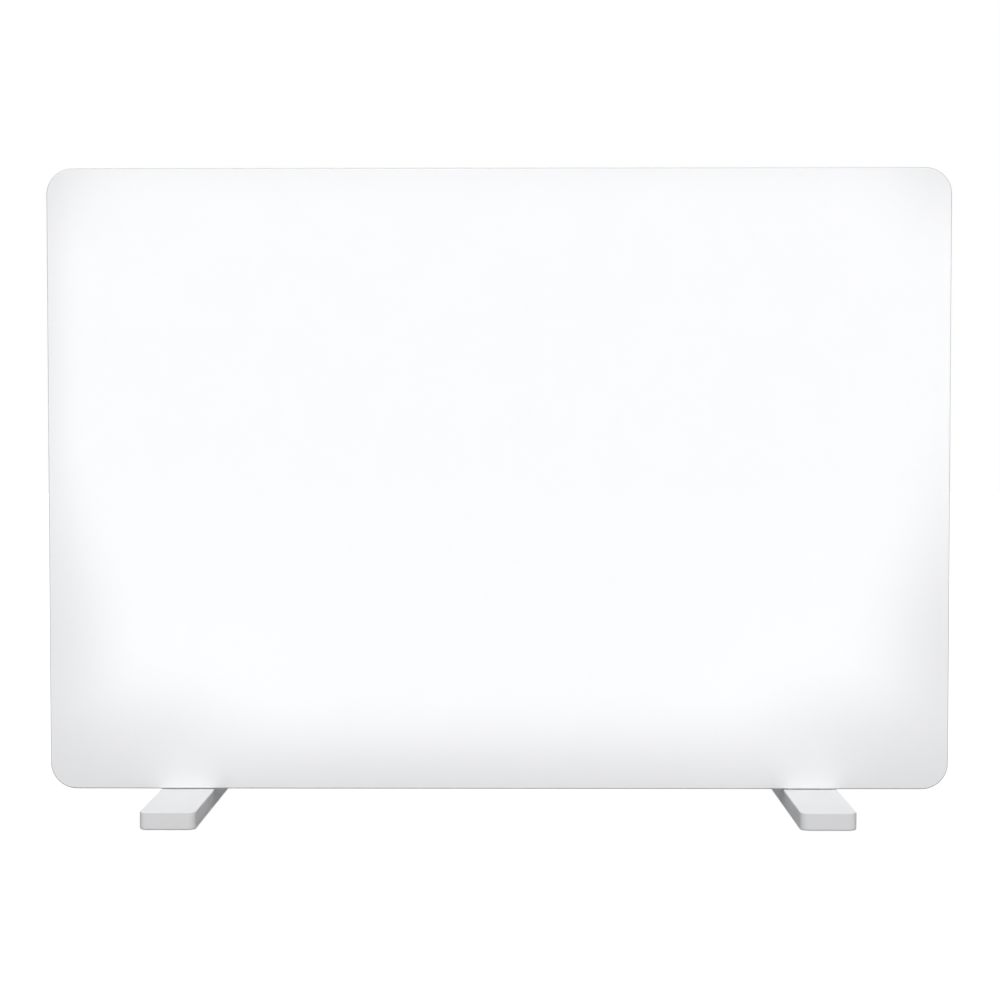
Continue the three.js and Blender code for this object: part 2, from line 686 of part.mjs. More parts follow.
// Two stacks of level vent slots through the cover's rear face, one over each half of the main board.
function ventSlots() {
  const slotCount = 1 + Math.floor((boardHeight / 2 - slotInset - slotPitch / 2) / slotPitch);
  const stack = slotPitch * (slotCount - 1);
  const lows = [boardLow + slotInset, boardHigh - slotInset - stack];
  const heights = lows.flatMap((low) => Array.from({ length: slotCount }, (_, i) => low + i * slotPitch));
  return heights.map((z) =>
    toDepth(plainSlab(slotLength, slotWidth, slotWidth / 3, -through, caseWall + through, 1))
      .translate(caseWidth / 2, coverInner, z));
}

// Holes through the casing's side for the keys and the display.
function keyOpenings() {
  const outside = caseWidth + through;
  const keys = keyHeights.map((z) =>
    bar('x', keyRadius + slip, sideInner - through, outside, { y: midDepth, z }, 16));
  const width = lensWidth + 2 * slip;
  const height = lensHeight + 2 * slip;
  const lens = plainSlab(width, height, lensCorner + slip, -through, caseWall + through, 3);
  return [...keys, toSide(lens).translate(sideInner, midDepth, lensCentre)];
}

function rockerOpening() {
  const half = { y: rockerBody.y / 2 + slip, z: rockerBody.z / 2 + slip };
  return block(
    [sideInner - through, midDepth - half.y, rockerRise - half.z],
    [caseWidth + through, midDepth + half.y, rockerRise + half.z]);
}

// A cross-recess screw along Y, its head behind y 0.
function coverScrew() {
  const head = screwHead(coverScrewHead, coverScrewHeadHeight);
  const shank = bar('z', coverScrewShank, -coverScrewLength, through / 2, {}, 10);
  const { length, width, depth } = coverScrewSlot;
  const low = coverScrewHeadHeight - depth;
  const recess = [0, Math.PI / 2].map((turn) =>
    block([-length / 2, -width / 2, low], [length / 2, width / 2, low + depth + through]).rotateZ(turn));
  return cut(join(head, shank), ...recess).rotateX(-Math.PI / 2);
}

function mainBoard() {
  const plate = block([boardLeft, boardFace - boardThickness, boardLow], [boardRight, boardFace, boardHigh]);
  return cut(plate, ...boardPosts.map((at) => bar('y', boardPin + slip, 0, caseDepth, at, 10)));
}

// A box on the main board, from its lower left corner there.
const onBoard = (size, x, z) =>
  block([x, boardFace + seat, z], [x + size.x, boardFace + seat + size.y, z + size.z]);

function capacitor() {
  const base = boardFace + seat;
  const at = {
    x: boardLeft + partMargin + capacitorRadius,
    z: boardLow + partRise + relaySize.z + partGap + capacitorRadius,
  };
  return bar('y', capacitorRadius, base, base + capacitorHeight, at, 16);
}

// A row of clamps, each with two screw wells on top and a wire entry at either side.
function terminalBlock() {
  const left = caseWall + terminalInset;
  const right = left + terminalSize.x;
  const base = trayTop + seat;
  const top = base + terminalSize.y;
  const body = block([left, base, terminalLow], [right, top, terminalHigh]);
  const { radius, depth } = terminalWell;
  const wells = wayHeights.flatMap((z) => [0.25, 0.75].map((share) =>
    bar('y', radius, top - depth, top + through, { x: left + share * terminalSize.x, z }, 8)));
  const entries = wayHeights.flatMap((z) => [
    [left - through, left + terminalEntry.depth],
    [right - terminalEntry.depth, right + through],
  ].map(([from, to]) => bar('x', terminalEntry.radius, from, to, { y: wayDepth, z }, 8)));
  return cut(body, ...wells, ...entries);
}

// A lead from the foil through the rear glass and the tray, bent into the terminal block's entry.
function elementLead(height) {
  const from = new THREE.Vector3(leadX, filmRear + seat - panelRear, height);
  const corner = new THREE.Vector3(leadX, wayDepth, height);
  const entry = caseWall + terminalInset + terminalSize.x - terminalEntry.depth + seat;
  const to = new THREE.Vector3(entry, wayDepth, height);
  const before = new THREE.Vector3(leadX, wayDepth - leadBend, height);
  const after = new THREE.Vector3(leadX - leadBend, wayDepth, height);
  const path = new THREE.CurvePath();
  path.add(new THREE.LineCurve3(from, before));
  path.add(new THREE.QuadraticBezierCurve3(before, corner, after));
  path.add(new THREE.LineCurve3(after, to));
  const ring = Array.from({ length: 8 }, (_, i) => {
    const angle = (i / 8) * 2 * Math.PI;
    return new THREE.Vector2(leadRadius * Math.cos(angle), leadRadius * Math.sin(angle));
  });
  const options = { steps: 12, extrudePath: path, bevelEnabled: false };
  return new THREE.ExtrudeGeometry(new THREE.Shape(ring), options);
}

// A disc cut-out that rests on the rear glass through the tray's window, its flange over the tray.
function thermalCutout() {
  const flangeLow = trayThickness + seat;
  const flangeHigh = flangeLow + cutoutFlangeThickness;
  const disc = turned([
    [0, 0], [cutoutRadius, 0], [cutoutRadius, flangeLow], [cutoutFlange, flangeLow],
    [cutoutFlange, flangeHigh], [cutoutRadius, flangeHigh], [cutoutRadius, cutoutDepth], [0, cutoutDepth],
  ], 20);
  const { width, thickness, length, spread } = cutoutBlade;
  const blades = [-spread, spread].map((x) => block(
    [x - thickness / 2, -width / 2, cutoutDepth - through],
    [x + thickness / 2, width / 2, cutoutDepth + length]));
  return join(disc, ...blades).rotateX(-Math.PI / 2);
}

// The gland's body: a tapered sleeve and a flange below the casing, and a threaded barrel above its floor.
function cordGland() {
  const low = -seat - glandFlangeHeight - glandSleeveHeight;
  return turned([
    [glandBore, low], [glandSleeve - glandSleeveTaper, low], [glandSleeve, -seat - glandFlangeHeight],
    [glandFlange, -seat - glandFlangeHeight], [glandFlange, -seat], [glandBarrel, -seat],
    [glandBarrel, glandThread], [glandBore, glandThread], [glandBore, low],
  ], 20);
}

function glandNutShape() {
  const low = caseWall + seat;
  const nut = bar('z', glandNut, low, low + glandNutHeight, {}, 6);
  return cut(nut, bar('z', glandBarrel + slip, low - through, low + glandNutHeight + through, {}, 20));
}

// The room probe: a stub below the casing, held by a flange on its floor.
function roomProbe() {
  const floor = caseWall + seat;
  const shelf = floor + probeFlange.thickness;
  return turned([
    [0, -probeLength], [probeRadius - probeNose / 2, -probeLength], [probeRadius, probeNose - probeLength],
    [probeRadius, floor], [probeFlange.radius, floor], [probeFlange.radius, shelf],
    [probeRadius, shelf], [probeRadius, shelf + probeTail], [0, shelf + probeTail],
  ]);
}

// Tip-over switch, about its own middle: a frame flat on the tray whose two cheeks carry a pin along X.
function tipFrame() {
  const base = trayTop + seat;
  const cheek = tipWidth / 2 - tipEar;
  const sheet = block([-tipWidth / 2, base, tipLow], [tipWidth / 2, base + tipSheet, tipHigh]);
  const edge = cheek - tipSheet / 2;
  const window = block(
    [-edge, base - through, tipLow + tipClear / 2], [edge, base + tipSheet + through, tipPivot - tipSheet]);
  const cheeks = [-cheek - tipSheet, cheek].map((x) =>
    block([x, base, tipPivot - tipCheek], [x + tipSheet, midDepth + tipCheek, tipHigh]));
  const pin = bar('x', tipPin, -cheek - tipSheet / 2, cheek + tipSheet / 2, { y: midDepth, z: tipPivot }, 12);
  return join(cut(sheet, window), ...cheeks, pin);
}

// The weight that hangs from the frame's pin. The pin's centre is the origin.
function tipWeight() {
  const half = tipBobLength / 2;
  const hub = bar('x', tipHub, -half, half, {});
  const arm = block([-tipArmSize.x / 2, -tipArmSize.y / 2, -tipArm], [tipArmSize.x / 2, tipArmSize.y / 2, 0]);
  const bob = bar('x', tipBob, -half, half, { z: -tipArm });
  return cut(join(hub, arm, bob), bar('x', tipPin + slip, -half - through, half + through, {}, 12));
}

// The contact that the weight works, held between the frame's cheeks.
function tipContact() {
  const half = tipWidth / 2 - tipEar - seat;
  const low = tipPivot + tipHub + 2 * seat;
  const reach = contactSize.y / 2;
  return block([-half, midDepth - reach, low], [half, midDepth + reach, low + contactSize.z]);
}

// A key along X: its cap stands through the casing's side, and its flange holds it behind the wall.
function keyCap() {
  const flangeHigh = sideInner - seat;
  const flangeLow = flangeHigh - keyFlangeThickness;
  const top = caseWidth + keyProud;
  return turned([
    [0, keyInner], [keyStem, keyInner], [keyStem, flangeLow], [keyFlange, flangeLow],
    [keyFlange, flangeHigh], [keyRadius, flangeHigh], [keyRadius, top - keyEdge],
    [keyRadius - keyEdge, top], [0, top],
  ], 16).rotateY(Math.PI / 2);
}

function keySwitch() {
  const from = keyBoardFace + seat;
  const half = tactSize / 2;
  const body = block([from, -half, -half], [from + tactBody, half, half]);
  return join(body, bar('x', keyStem, from + tactBody / 2, plungerTip, {}, 12));
}

const keyBoard = () => block(
  [keyBoardLeft, trayTop + seat, keyHeights[0] - keyBoardRim],
  [keyBoardFace, coverInner - keyBoardSetback, lensCentre + lensHeight / 2]);

// The display's window, with a lip behind the casing's side.
function displayLens() {
  const back = sideInner - seat - lensLipThickness;
  const lipWidth = lensWidth + 2 * lensLip;
  const lipHeight = lensHeight + 2 * lensLip;
  const lip = plainSlab(lipWidth, lipHeight, lensCorner, 0, lensLipThickness, 3);
  const pane = plainSlab(lensWidth, lensHeight, lensCorner, 0, caseWidth + lensProud - back, 3);
  return toSide(join(lip, pane)).translate(back, midDepth, lensCentre);
}

function displayModule() {
  const half = { y: lensWidth / 2 - displayRim / 2, z: lensHeight / 2 - displayRim };
  return block(
    [keyBoardFace + seat, midDepth - half.y, lensCentre - half.z],
    [sideInner - 2 * seat - lensLipThickness, midDepth + half.y, lensCentre + half.z]);
}

// The rocker switch's housing. Its x 0 is the casing's side face.
function rockerHousing() {
  const back = -rockerWellDepth - rockerFloor;
  const half = { y: rockerBody.y / 2, z: rockerBody.z / 2 };
  const rim = rockerFlangeHeight - rockerFlangeEdge;
  const levels = [[seat, 0], [seat + rim, 0], [seat + rockerFlangeHeight, rockerFlangeEdge]];
  const flange = toSide(slab(rockerFlange.y, rockerFlange.z, rockerFlange.corner, levels, 2));
  const body = block([back, -half.y, -half.z], [seat + rim, half.y, half.z]);
  const well = block(
    [-rockerWellDepth, rockerWall - half.y, rockerWall - half.z],
    [rockerFlangeHeight + through, half.y - rockerWall, half.z - rockerWall]);
  const { width, thickness, length, spread } = rockerBlade;
  const blades = [-spread, spread].map((z) => block(
    [back - length, -width / 2, z - thickness / 2], [back + through, width / 2, z + thickness / 2]));
  const reach = half.y - rockerWall + rockerTrunnionReach + slip;
  const sockets = bar('y', rockerTrunnion + slip, -reach, reach, { x: -rockerPivot }, 12);
  return cut(join(flange, body, ...blades), well, sockets);
}

// The rocker's key about its own pivot, leaning so that its lower end is pressed in.
function rockerKey() {
  const top = rockerPivot + rockerFlangeHeight + rockerCrown;
  const reach = rockerBody.z / 2 - rockerWall - rockerEndGap;
  const outline = [
    [0, -reach], [-rockerKeel, -reach / 2], [-rockerKeel, reach / 2], [0, reach],
    [top, reach - rockerLean], [top - rockerDish, 0], [top, rockerLean - reach],
  ];
  const half = rockerBody.y / 2 - rockerWall - slip;
  const key = extruded(outline, 2 * half).rotateX(-Math.PI / 2).translate(0, -half, 0);
  const pinReach = half + slip + rockerTrunnionReach;
  const pins = bar('y', rockerTrunnion, -pinReach, pinReach, {}, 12);
  return join(key, pins).rotateY(THREE.MathUtils.degToRad(rockerTilt));
}

function buildCasing(unit) {
  place(unit, 'control_tray', controlTray(), greyPlastic);
  place(unit, 'control_cover', controlCover(), whitePlastic);
  const corners = ['lower_left', 'lower_right', 'upper_left', 'upper_right'];
  postPlaces.forEach((at, i) =>
    place(unit, `cover_screw_${corners[i]}`, coverScrew(), zinc, at.x, caseDepth - counterbore + seat, at.z));
  place(unit, 'cord_gland', cordGland(), whitePlastic, glandPlace.x, glandPlace.y);
  place(unit, 'cord_gland_nut', glandNutShape(), whitePlastic, glandPlace.x, glandPlace.y);
  place(unit, 'room_probe', roomProbe(), whitePlastic, probePlace.x, probePlace.y);
}

function buildElectrics(unit) {
  const low = boardLow + partRise;
  const left = boardLeft + partMargin;
  place(unit, 'main_board', mainBoard(), boardGreen);
  place(unit, 'power_relay', onBoard(relaySize, left, low), blackPlastic);
  place(unit, 'supply_choke', onBoard(chokeSize, boardRight - partMargin - chokeSize.x, low), brass);
  place(unit, 'smoothing_capacitor', capacitor(), blackPlastic);
  place(unit, 'radio_module', onBoard(radioSize, left, boardHigh - partRise - radioSize.z), zinc);
  place(unit, 'terminal_block', terminalBlock(), whitePlastic);
  place(unit, 'element_lead_live', elementLead(leadHeights[0]), redSleeve);
  place(unit, 'element_lead_neutral', elementLead(leadHeights[1]), redSleeve);
  place(unit, 'thermal_cutout', thermalCutout(), zinc, cutoutPlace.x, seat, cutoutPlace.z);
  place(unit, 'tip_switch_frame', tipFrame(), blackPlastic, tipMiddle);
  place(unit, 'tip_switch_weight', tipWeight(), brass, tipMiddle, midDepth, tipPivot);
  place(unit, 'tip_switch_contact', tipContact(), greyPlastic, tipMiddle);
}

function buildSideControls(unit) {
  place(unit, 'key_board', keyBoard(), boardGreen);
  keyNames.forEach((name, i) => {
    place(unit, `key_${name}`, keyCap(), greyPlastic, 0, midDepth, keyHeights[i]);
    place(unit, `key_switch_${name}`, keySwitch(), blackPlastic, 0, midDepth, keyHeights[i]);
  });
  place(unit, 'display_lens', displayLens(), smokedLens);
  place(unit, 'display_module', displayModule(), blackPlastic);
  place(unit, 'rocker_housing', rockerHousing(), blackPlastic, caseWidth, midDepth, rockerRise);
  place(unit, 'rocker_key', rockerKey(), blackPlastic, caseWidth - rockerPivot, midDepth, rockerRise);
}

function buildControlUnit() {
  const unit = new THREE.Group();
  unit.position.set(caseLeft, panelRear, caseBottom);
  buildCasing(unit);
  buildElectrics(unit);
  buildSideControls(unit);
  return unit;
}

const heater = new THREE.Group();
heater.add(buildPanel(), buildSupport(-1, 'left'), buildSupport(1, 'right'), buildControlUnit());

export default heater;
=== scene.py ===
"""Fine surfaces, finishes, light and camera for a glass panel heater on two bar feet.

Sizes are in millimetres unless a class says metres. The origin lies on the floor midway between the feet, the
front faces -Y and Z is up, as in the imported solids. Meshes are turned into metres when a piece is finished.
"""
import json
import logging
import math
from collections.abc import Callable, Sequence
from dataclasses import asdict, dataclass
from enum import Enum

import bpy
import numpy as np
from mathutils import Matrix, Vector

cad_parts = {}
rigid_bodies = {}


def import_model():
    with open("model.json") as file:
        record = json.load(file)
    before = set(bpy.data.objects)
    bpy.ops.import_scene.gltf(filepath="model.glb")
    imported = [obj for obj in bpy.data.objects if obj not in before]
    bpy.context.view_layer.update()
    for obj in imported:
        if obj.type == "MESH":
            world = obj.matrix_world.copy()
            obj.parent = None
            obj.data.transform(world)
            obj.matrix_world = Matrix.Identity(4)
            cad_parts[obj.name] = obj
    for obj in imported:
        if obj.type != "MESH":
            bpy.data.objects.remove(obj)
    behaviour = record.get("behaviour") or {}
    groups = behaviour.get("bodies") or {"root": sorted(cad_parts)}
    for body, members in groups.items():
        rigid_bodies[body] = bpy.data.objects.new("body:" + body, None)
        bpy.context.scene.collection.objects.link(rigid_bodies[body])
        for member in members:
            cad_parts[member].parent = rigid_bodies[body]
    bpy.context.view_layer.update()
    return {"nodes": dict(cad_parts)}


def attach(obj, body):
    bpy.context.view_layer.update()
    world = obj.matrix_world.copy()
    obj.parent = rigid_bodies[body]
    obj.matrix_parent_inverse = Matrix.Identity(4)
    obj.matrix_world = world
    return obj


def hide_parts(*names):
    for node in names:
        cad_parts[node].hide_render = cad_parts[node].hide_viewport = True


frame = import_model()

log = logging.getLogger("panel_heater")
Array = np.ndarray
Node = bpy.types.Node
Socket = bpy.types.NodeSocket
Pair = tuple[float, float]
Triple = tuple[float, float, float]
MM = 0.001


class Join(Enum):
    """What tool shapes do to the piece that they meet."""

    ADD = "UNION"
    TAKE = "DIFFERENCE"


class Drive(Enum):
    """How a screw is turned."""

    KNURL = "knurl"
    HEXAGON = "hexagon"
    CROSS = "cross"


class Side(Enum):
    """Which end of the panel something stands at."""

    LEFT = -1
    RIGHT = 1


# Surfaces


@dataclass(frozen=True)
class Shape:
    """A closed surface: rows of coordinates, and the numbers of each face's points, anticlockwise outside."""

    points: Array
    faces: list[list[int]]

    def rearward(self) -> "Shape":
        """Send (u, v, w) to (x, z, y). That is a mirror image, so the faces are listed backwards."""
        return Shape(self.points[:, [0, 2, 1]], [face[::-1] for face in self.faces])

    def sideways(self) -> "Shape":
        """Send (u, v, w) to (y, z, x)."""
        return Shape(self.points[:, [2, 0, 1]], self.faces)

    def at(self, x: float, y: float, z: float) -> "Shape":
        """The shape moved by x, y and z."""
        return Shape(self.points + np.array([x, y, z]), self.faces)


def corner_arcs(corners: Sequence[Pair], radii: float | Sequence[float], steps: int) -> Array:
    """Replace the corners of a closed outline by arcs.

    An arc's centre lies on the bisector at radius / sin(half the corner's angle). Its points turn evenly, as
    sin((1 - t) a) and sin(t a) over sin(a) of the two end spokes, where a is the whole turn and t goes to 1.

    Args:
        corners: the corners, anticlockwise.
        radii: one radius, or one for each corner, cut down so that an arc takes at most 0.48 of an edge.
        steps: pieces in each arc.

    Returns:
        Arcs, points and two coordinates.
    """
    corner = np.array(corners, float)
    back, ahead = np.roll(corner, 1, 0) - corner, np.roll(corner, -1, 0) - corner
    lengths = [np.linalg.norm(edge, axis=1, keepdims=True) for edge in (back, ahead)]
    back, ahead = back / lengths[0], ahead / lengths[1]
    half = 0.5 * np.arccos(np.clip((back * ahead).sum(1), -0.999999, 0.999999))
    radii = np.minimum(radii, 0.48 * np.minimum(*lengths)[:, 0] * np.tan(half))
    reach = (radii / np.tan(half))[:, None]
    bisector = back + ahead
    bisector = bisector / np.linalg.norm(bisector, axis=1, keepdims=True)
    centre = corner + bisector * (radii / np.sin(half))[:, None]
    first, last = corner + back * reach - centre, corner + ahead * reach - centre
    turn = (np.pi - 2 * half)[:, None]
    share = np.linspace(0, 1, steps + 1)[None]
    fade, grow = np.sin((1 - share) * turn) / np.sin(turn), np.sin(share * turn) / np.sin(turn)
    return centre[:, None] + fade[..., None] * first[:, None] + grow[..., None] * last[:, None]


def outline_of(corners: Sequence[Pair], radii: float | Sequence[float], steps: int) -> Array:
    """A closed outline whose corners are arcs."""
    return corner_arcs(corners, radii, steps).reshape(-1, 2)


def line_of(points: Sequence[Pair], radius: float, steps: int = 4) -> Array:
    """An open line whose inner corners are arcs."""
    return np.vstack([points[:1], corner_arcs(points, radius, steps)[1:-1].reshape(-1, 2), points[-1:]])


def oblong(width: float, height: float, radius: float, steps: int) -> Array:
    """The outline of a rectangle with round corners, about the origin."""
    u, v = width / 2, height / 2
    return outline_of([(-u, -v), (u, -v), (u, v), (-u, v)], radius, steps)


def circle(radius: float, sides: int) -> Array:
    """A circle's outline: radius times the cosine and sine of evenly spaced angles."""
    angle = np.arange(sides) * 2 * np.pi / sides
    return radius * np.stack([np.cos(angle), np.sin(angle)], 1)


def skin(rings: Array, joined: bool) -> Shape:
    """Join neighbouring rings by four-sided faces.

    Args:
        rings: rings, points and coordinates, each ring anticlockwise as seen from the next one.
        joined: whether the last ring leads back to the first, or each of them gets a face.

    Returns:
        The closed surface.
    """
    number = np.arange(rings.shape[0] * rings.shape[1]).reshape(rings.shape[:2])
    rows = np.vstack([number, number[:1]]) if joined else number
    low, high = rows[:-1], rows[1:]
    faces = np.stack([low, np.roll(low, -1, 1), np.roll(high, -1, 1), high], -1).reshape(-1, 4).tolist()
    if not joined:
        faces += [number[0][::-1].tolist(), number[-1].tolist()]
    return Shape(rings.reshape(-1, 3), faces)


def raised(outline: Array, levels: Array | Sequence[Pair], joined: bool = False) -> Shape:
    """Carry an outline up a list of levels.

    At inset i a point p goes to p + i m, where m is the sum of the inward normals of the two edges that meet
    there over 1 plus their scalar product, so that both edges move by i.

    Args:
        outline: the outline, anticlockwise.
        levels: rows of height and inset.
        joined: whether the last level leads back to the first.

    Returns:
        The raised shape.
    """
    edge = np.roll(outline, -1, 0) - outline
    edge = edge / np.maximum(np.linalg.norm(edge, axis=1, keepdims=True), 1e-9)
    after = np.stack([-edge[:, 1], edge[:, 0]], 1)
    before = np.roll(after, 1, 0)
    inward = (before + after) / (1 + (before * after).sum(1, keepdims=True))
    height, inset = np.asarray(levels, float).T[:, :, None, None]
    flat = outline[None] + inset * inward[None]
    return skin(np.concatenate([flat, np.broadcast_to(height, flat.shape[:2] + (1,))], 2), joined)


def quarter(steps: int) -> tuple[Array, Array]:
    """1 less the cosine and 1 less the sine of evenly spaced angles in a quarter turn."""
    turn = np.linspace(0, np.pi / 2, steps + 1)
    return 1 - np.cos(turn), 1 - np.sin(turn)


def round_edges(low: float, high: float, lower: float, upper: float, steps: int) -> Array:
    """Levels of a slab with quarter-round edges.

    Args:
        low: height of the lower face.
        high: height of the upper face.
        lower: radius of the lower edge.
        upper: radius of the upper edge.
        steps: pieces in each quarter.

    Returns:
        Rows of height and inset: (low + lower (1 - cos t), lower (1 - sin t)) and the same upside down, with
        t up to a quarter turn, and one more ring in each flat face, 1.4 times the radius and 0.02 inside.
    """
    grow, fade = quarter(steps)
    foot = np.stack([low + lower * grow, lower * fade], 1)
    head = np.stack([high - upper * fade, upper * grow], 1)
    return np.vstack([[[low, 1.4 * lower + 0.02]], foot, head, [[high, 1.4 * upper + 0.02]]])


def flared(low: float, high: float, flare: float) -> Array:
    """Levels of a cutting shape that widens in a quarter round where it comes out at its upper end.

    Args:
        low: where the cut starts.
        high: the face where the cut comes out.
        flare: radius of the round edge that it leaves there.

    Returns:
        Rows of height and inset: (high - flare (1 - sin t), -flare (1 - cos t)), then straight out by 1.
    """
    grow, fade = quarter(4)
    edge = np.stack([high - flare * fade, -flare * grow], 1)
    return np.vstack([[[low, 0.0]], edge, [[high + 1.0, -flare]]])


def mirrored(levels: Array) -> Array:
    """Levels turned upside down about height 0."""
    return levels[::-1] * np.array([-1.0, 1.0])


def rod(radius: float, low: float, high: float, flare: float, sides: int = 40) -> Shape:
    """A round cutting bar, flared at its upper end."""
    return raised(circle(radius, sides), flared(low, high, flare))


def turned(profile: Array, sides: int, shaped: Callable[[Array, Array, Array], Array] | None = None,
           joined: bool = False) -> Shape:
    """Turn a profile: radius r and height h become the ring (r cos a, r sin a, h) over evenly spaced a.

    Args:
        profile: rows of radius and height, from the lower end up the outside.
        sides: points in each ring.
        shaped: gives the radius at a radius, height and angle, for knurls and sockets.
        joined: whether the profile leads back to its start.

    Returns:
        The turned shape.
    """
    angle = np.broadcast_to(np.arange(sides) * 2 * np.pi / sides, (len(profile), sides))
    radius, height = (np.broadcast_to(column[:, None], angle.shape) for column in profile.T)
    if shaped is not None:
        radius = shaped(radius, height, angle)
    return skin(np.stack([radius * np.cos(angle), radius * np.sin(angle), height], 2), joined)


# Finishes


class Nodes:
    """A node tree and the steps that its users share."""

    def __init__(self, tree: bpy.types.NodeTree) -> None:
        """Empty a tree for new nodes."""
        self.tree = tree
        self.tree.nodes.clear()

    def fill(self, node: Node, values: dict[str | int, object]) -> Node:
        """Set a node's inputs.

        Args:
            node: the node.
            values: plain values or sockets, under the inputs' names or numbers.

        Returns:
            The same node.
        """
        for key, value in values.items():
            target = node.inputs[key]
            if isinstance(value, Socket):
                self.tree.links.new(value, target)
            elif isinstance(value, tuple) and len(value) < len(target.default_value):
                target.default_value = (*value, 1.0)
            else:
                target.default_value = value
        return node

    def add(self, kind: str, values: dict[str | int, object] | None = None, **settings: object) -> Node:
        """Add a node.

        Args:
            kind: its type, less the words that all types start with.
            values: what its inputs get.
            settings: what its settings get.

        Returns:
            The node.
        """
        node = self.tree.nodes.new("ShaderNode" + kind)
        for key, value in settings.items():
            setattr(node, key, value)
        return self.fill(node, values or {})

    def maths(self, operation: str, *values: object) -> Socket:
        """The result of one sum on plain values or sockets."""
        return self.add("Math", dict(enumerate(values)), operation=operation).outputs[0]

    def vector(self, operation: str, *values: object, output: str = "Vector") -> Socket:
        """The result of one sum on vectors."""
        return self.add("VectorMath", dict(enumerate(values)), operation=operation).outputs[output]

    def span(self, value: Socket, low: float, high: float, start: float = 0.0, end: float = 1.0,
             kind: str = "LINEAR") -> Socket:
        """A value's range from low to high led to the range from start to end."""
        ends = {"Value": value, "From Min": low, "From Max": high, "To Min": start, "To Max": end}
        return self.add("MapRange", ends, interpolation_type=kind).outputs["Result"]

    def step(self, *numbers: object) -> Socket:
        """The same along a smooth step."""
        return self.span(*numbers, kind="SMOOTHSTEP")

    def mixed(self, share: Socket, first: Socket | Triple, second: Socket | Triple) -> Socket:
        """The first colour, going to the second as the share goes to 1."""
        return self.add("Mix", {0: share, 6: first, 7: second}, data_type="RGBA").outputs[2]

    def seen(self) -> Socket:
        """Tell the rays that show a surface itself from those that only carry its light.

        Returns:
            The largest of Is Camera Ray, Is Glossy Ray and Is Transmission Ray.
        """
        rays = self.add("LightPath").outputs
        either = self.maths("MAXIMUM", rays["Is Camera Ray"], rays["Is Glossy Ray"])
        return self.maths("MAXIMUM", either, rays["Is Transmission Ray"])


class Bench(Nodes):
    """The node tree of one material, with the piece's own coordinates at hand.

    Fields:
        soft: how far a print's edge fades.
        worn: the scalar product of the plain and the softened normal at a fully worn edge.
    """

    soft = 0.05
    worn = 0.84375

    def __init__(self, name: str) -> None:
        """Start a material.

        Args:
            name: its name.
        """
        self.material = bpy.data.materials.new(name)
        self.material.use_nodes = True
        super().__init__(self.material.node_tree)
        self.shader = self.add("BsdfPrincipled")
        self.add("OutputMaterial", {"Surface": self.shader.outputs["BSDF"]})
        self.place = self.add("TexCoord").outputs["Object"]

    def noise(self, size: float, detail: float = 3.0, stretch: Triple | None = None) -> Socket:
        """Cloudy noise about 0.5 with features of this size, scaled by the stretch along each axis."""
        place = self.add("Mapping", {0: self.place, "Scale": stretch}).outputs[0] if stretch else self.place
        return self.add("TexNoise", {0: place, "Scale": 1 / (size * MM), "Detail": detail}).outputs["Fac"]

    def cells(self, size: float) -> Socket:
        """Cells of about this size, as crystals or flakes lie."""
        return self.add("TexVoronoi", {"Vector": self.place, "Scale": 1.0 / (size * MM)}).outputs["Distance"]

    def bands(self, pitch: float, direction: str, warp: float = 0.0) -> Socket:
        """Even bands, one every pitch along an axis, bent by the warp."""
        values = {"Vector": self.place, "Scale": math.pi / 10 / (pitch * MM), "Distortion": warp}
        return self.add("TexWave", values, bands_direction=direction).outputs["Fac"]

    def edge(self, reach: float) -> Socket:
        """How near an edge a point is.

        Args:
            reach: how far from an edge the wear goes.

        Returns:
            0 where the plain and the softened normal agree, going to 1 where their scalar product is worn.
        """
        soft = self.add("Bevel", {"Radius": reach * MM}, samples=4).outputs["Normal"]
        plain = self.add("NewGeometry").outputs["Normal"]
        return self.span(self.vector("DOT_PRODUCT", soft, plain, output="Value"), 1.0, self.worn)

    def bump(self, height: Socket, depth: float, under: Socket | None = None) -> Socket:
        """The plain normal or the one under it, raised by a height map, by the depth for a height of 1."""
        values = {"Distance": depth * MM, "Height": height} | ({} if under is None else {"Normal": under})
        return self.add("Bump", values).outputs["Normal"]

    def offset(self, centre: Triple) -> Socket:
        """The way to a point from a place given in millimetres."""
        return self.vector("SUBTRACT", self.place, tuple(v * MM for v in centre))

    def bar(self, centre: Triple, half: Triple) -> Socket:
        """A printed bar.

        Args:
            centre: its middle.
            half: half its size along each axis.

        Returns:
            1 inside and 0 outside, from the largest of |p - centre| - half along the three axes.
        """
        away = self.vector("ABSOLUTE", self.offset(centre))
        past = self.vector("SUBTRACT", away, tuple(v * MM for v in half))
        x, y, z = self.add("SeparateXYZ", {0: past}).outputs
        most = self.maths("MAXIMUM", self.maths("MAXIMUM", x, y), z)
        return self.span(most, self.soft * MM, -self.soft * MM)

    def ring(self, centre: Triple, radius: float, width: float) -> Socket:
        """A printed ring about X.

        Args:
            centre: its middle.
            radius: radius of its middle line.
            width: width of its line.

        Returns:
            1 on the line and 0 off it, from | distance to the axis - radius |.
        """
        flat = self.vector("MULTIPLY", self.offset(centre), (0.0, 1.0, 1.0))
        away = self.maths("SUBTRACT", self.vector("LENGTH", flat, output="Value"), radius * MM)
        outer, inner = (width / 2 + self.soft) * MM, (width / 2 - self.soft) * MM
        return self.span(self.maths("ABSOLUTE", away), outer, inner)


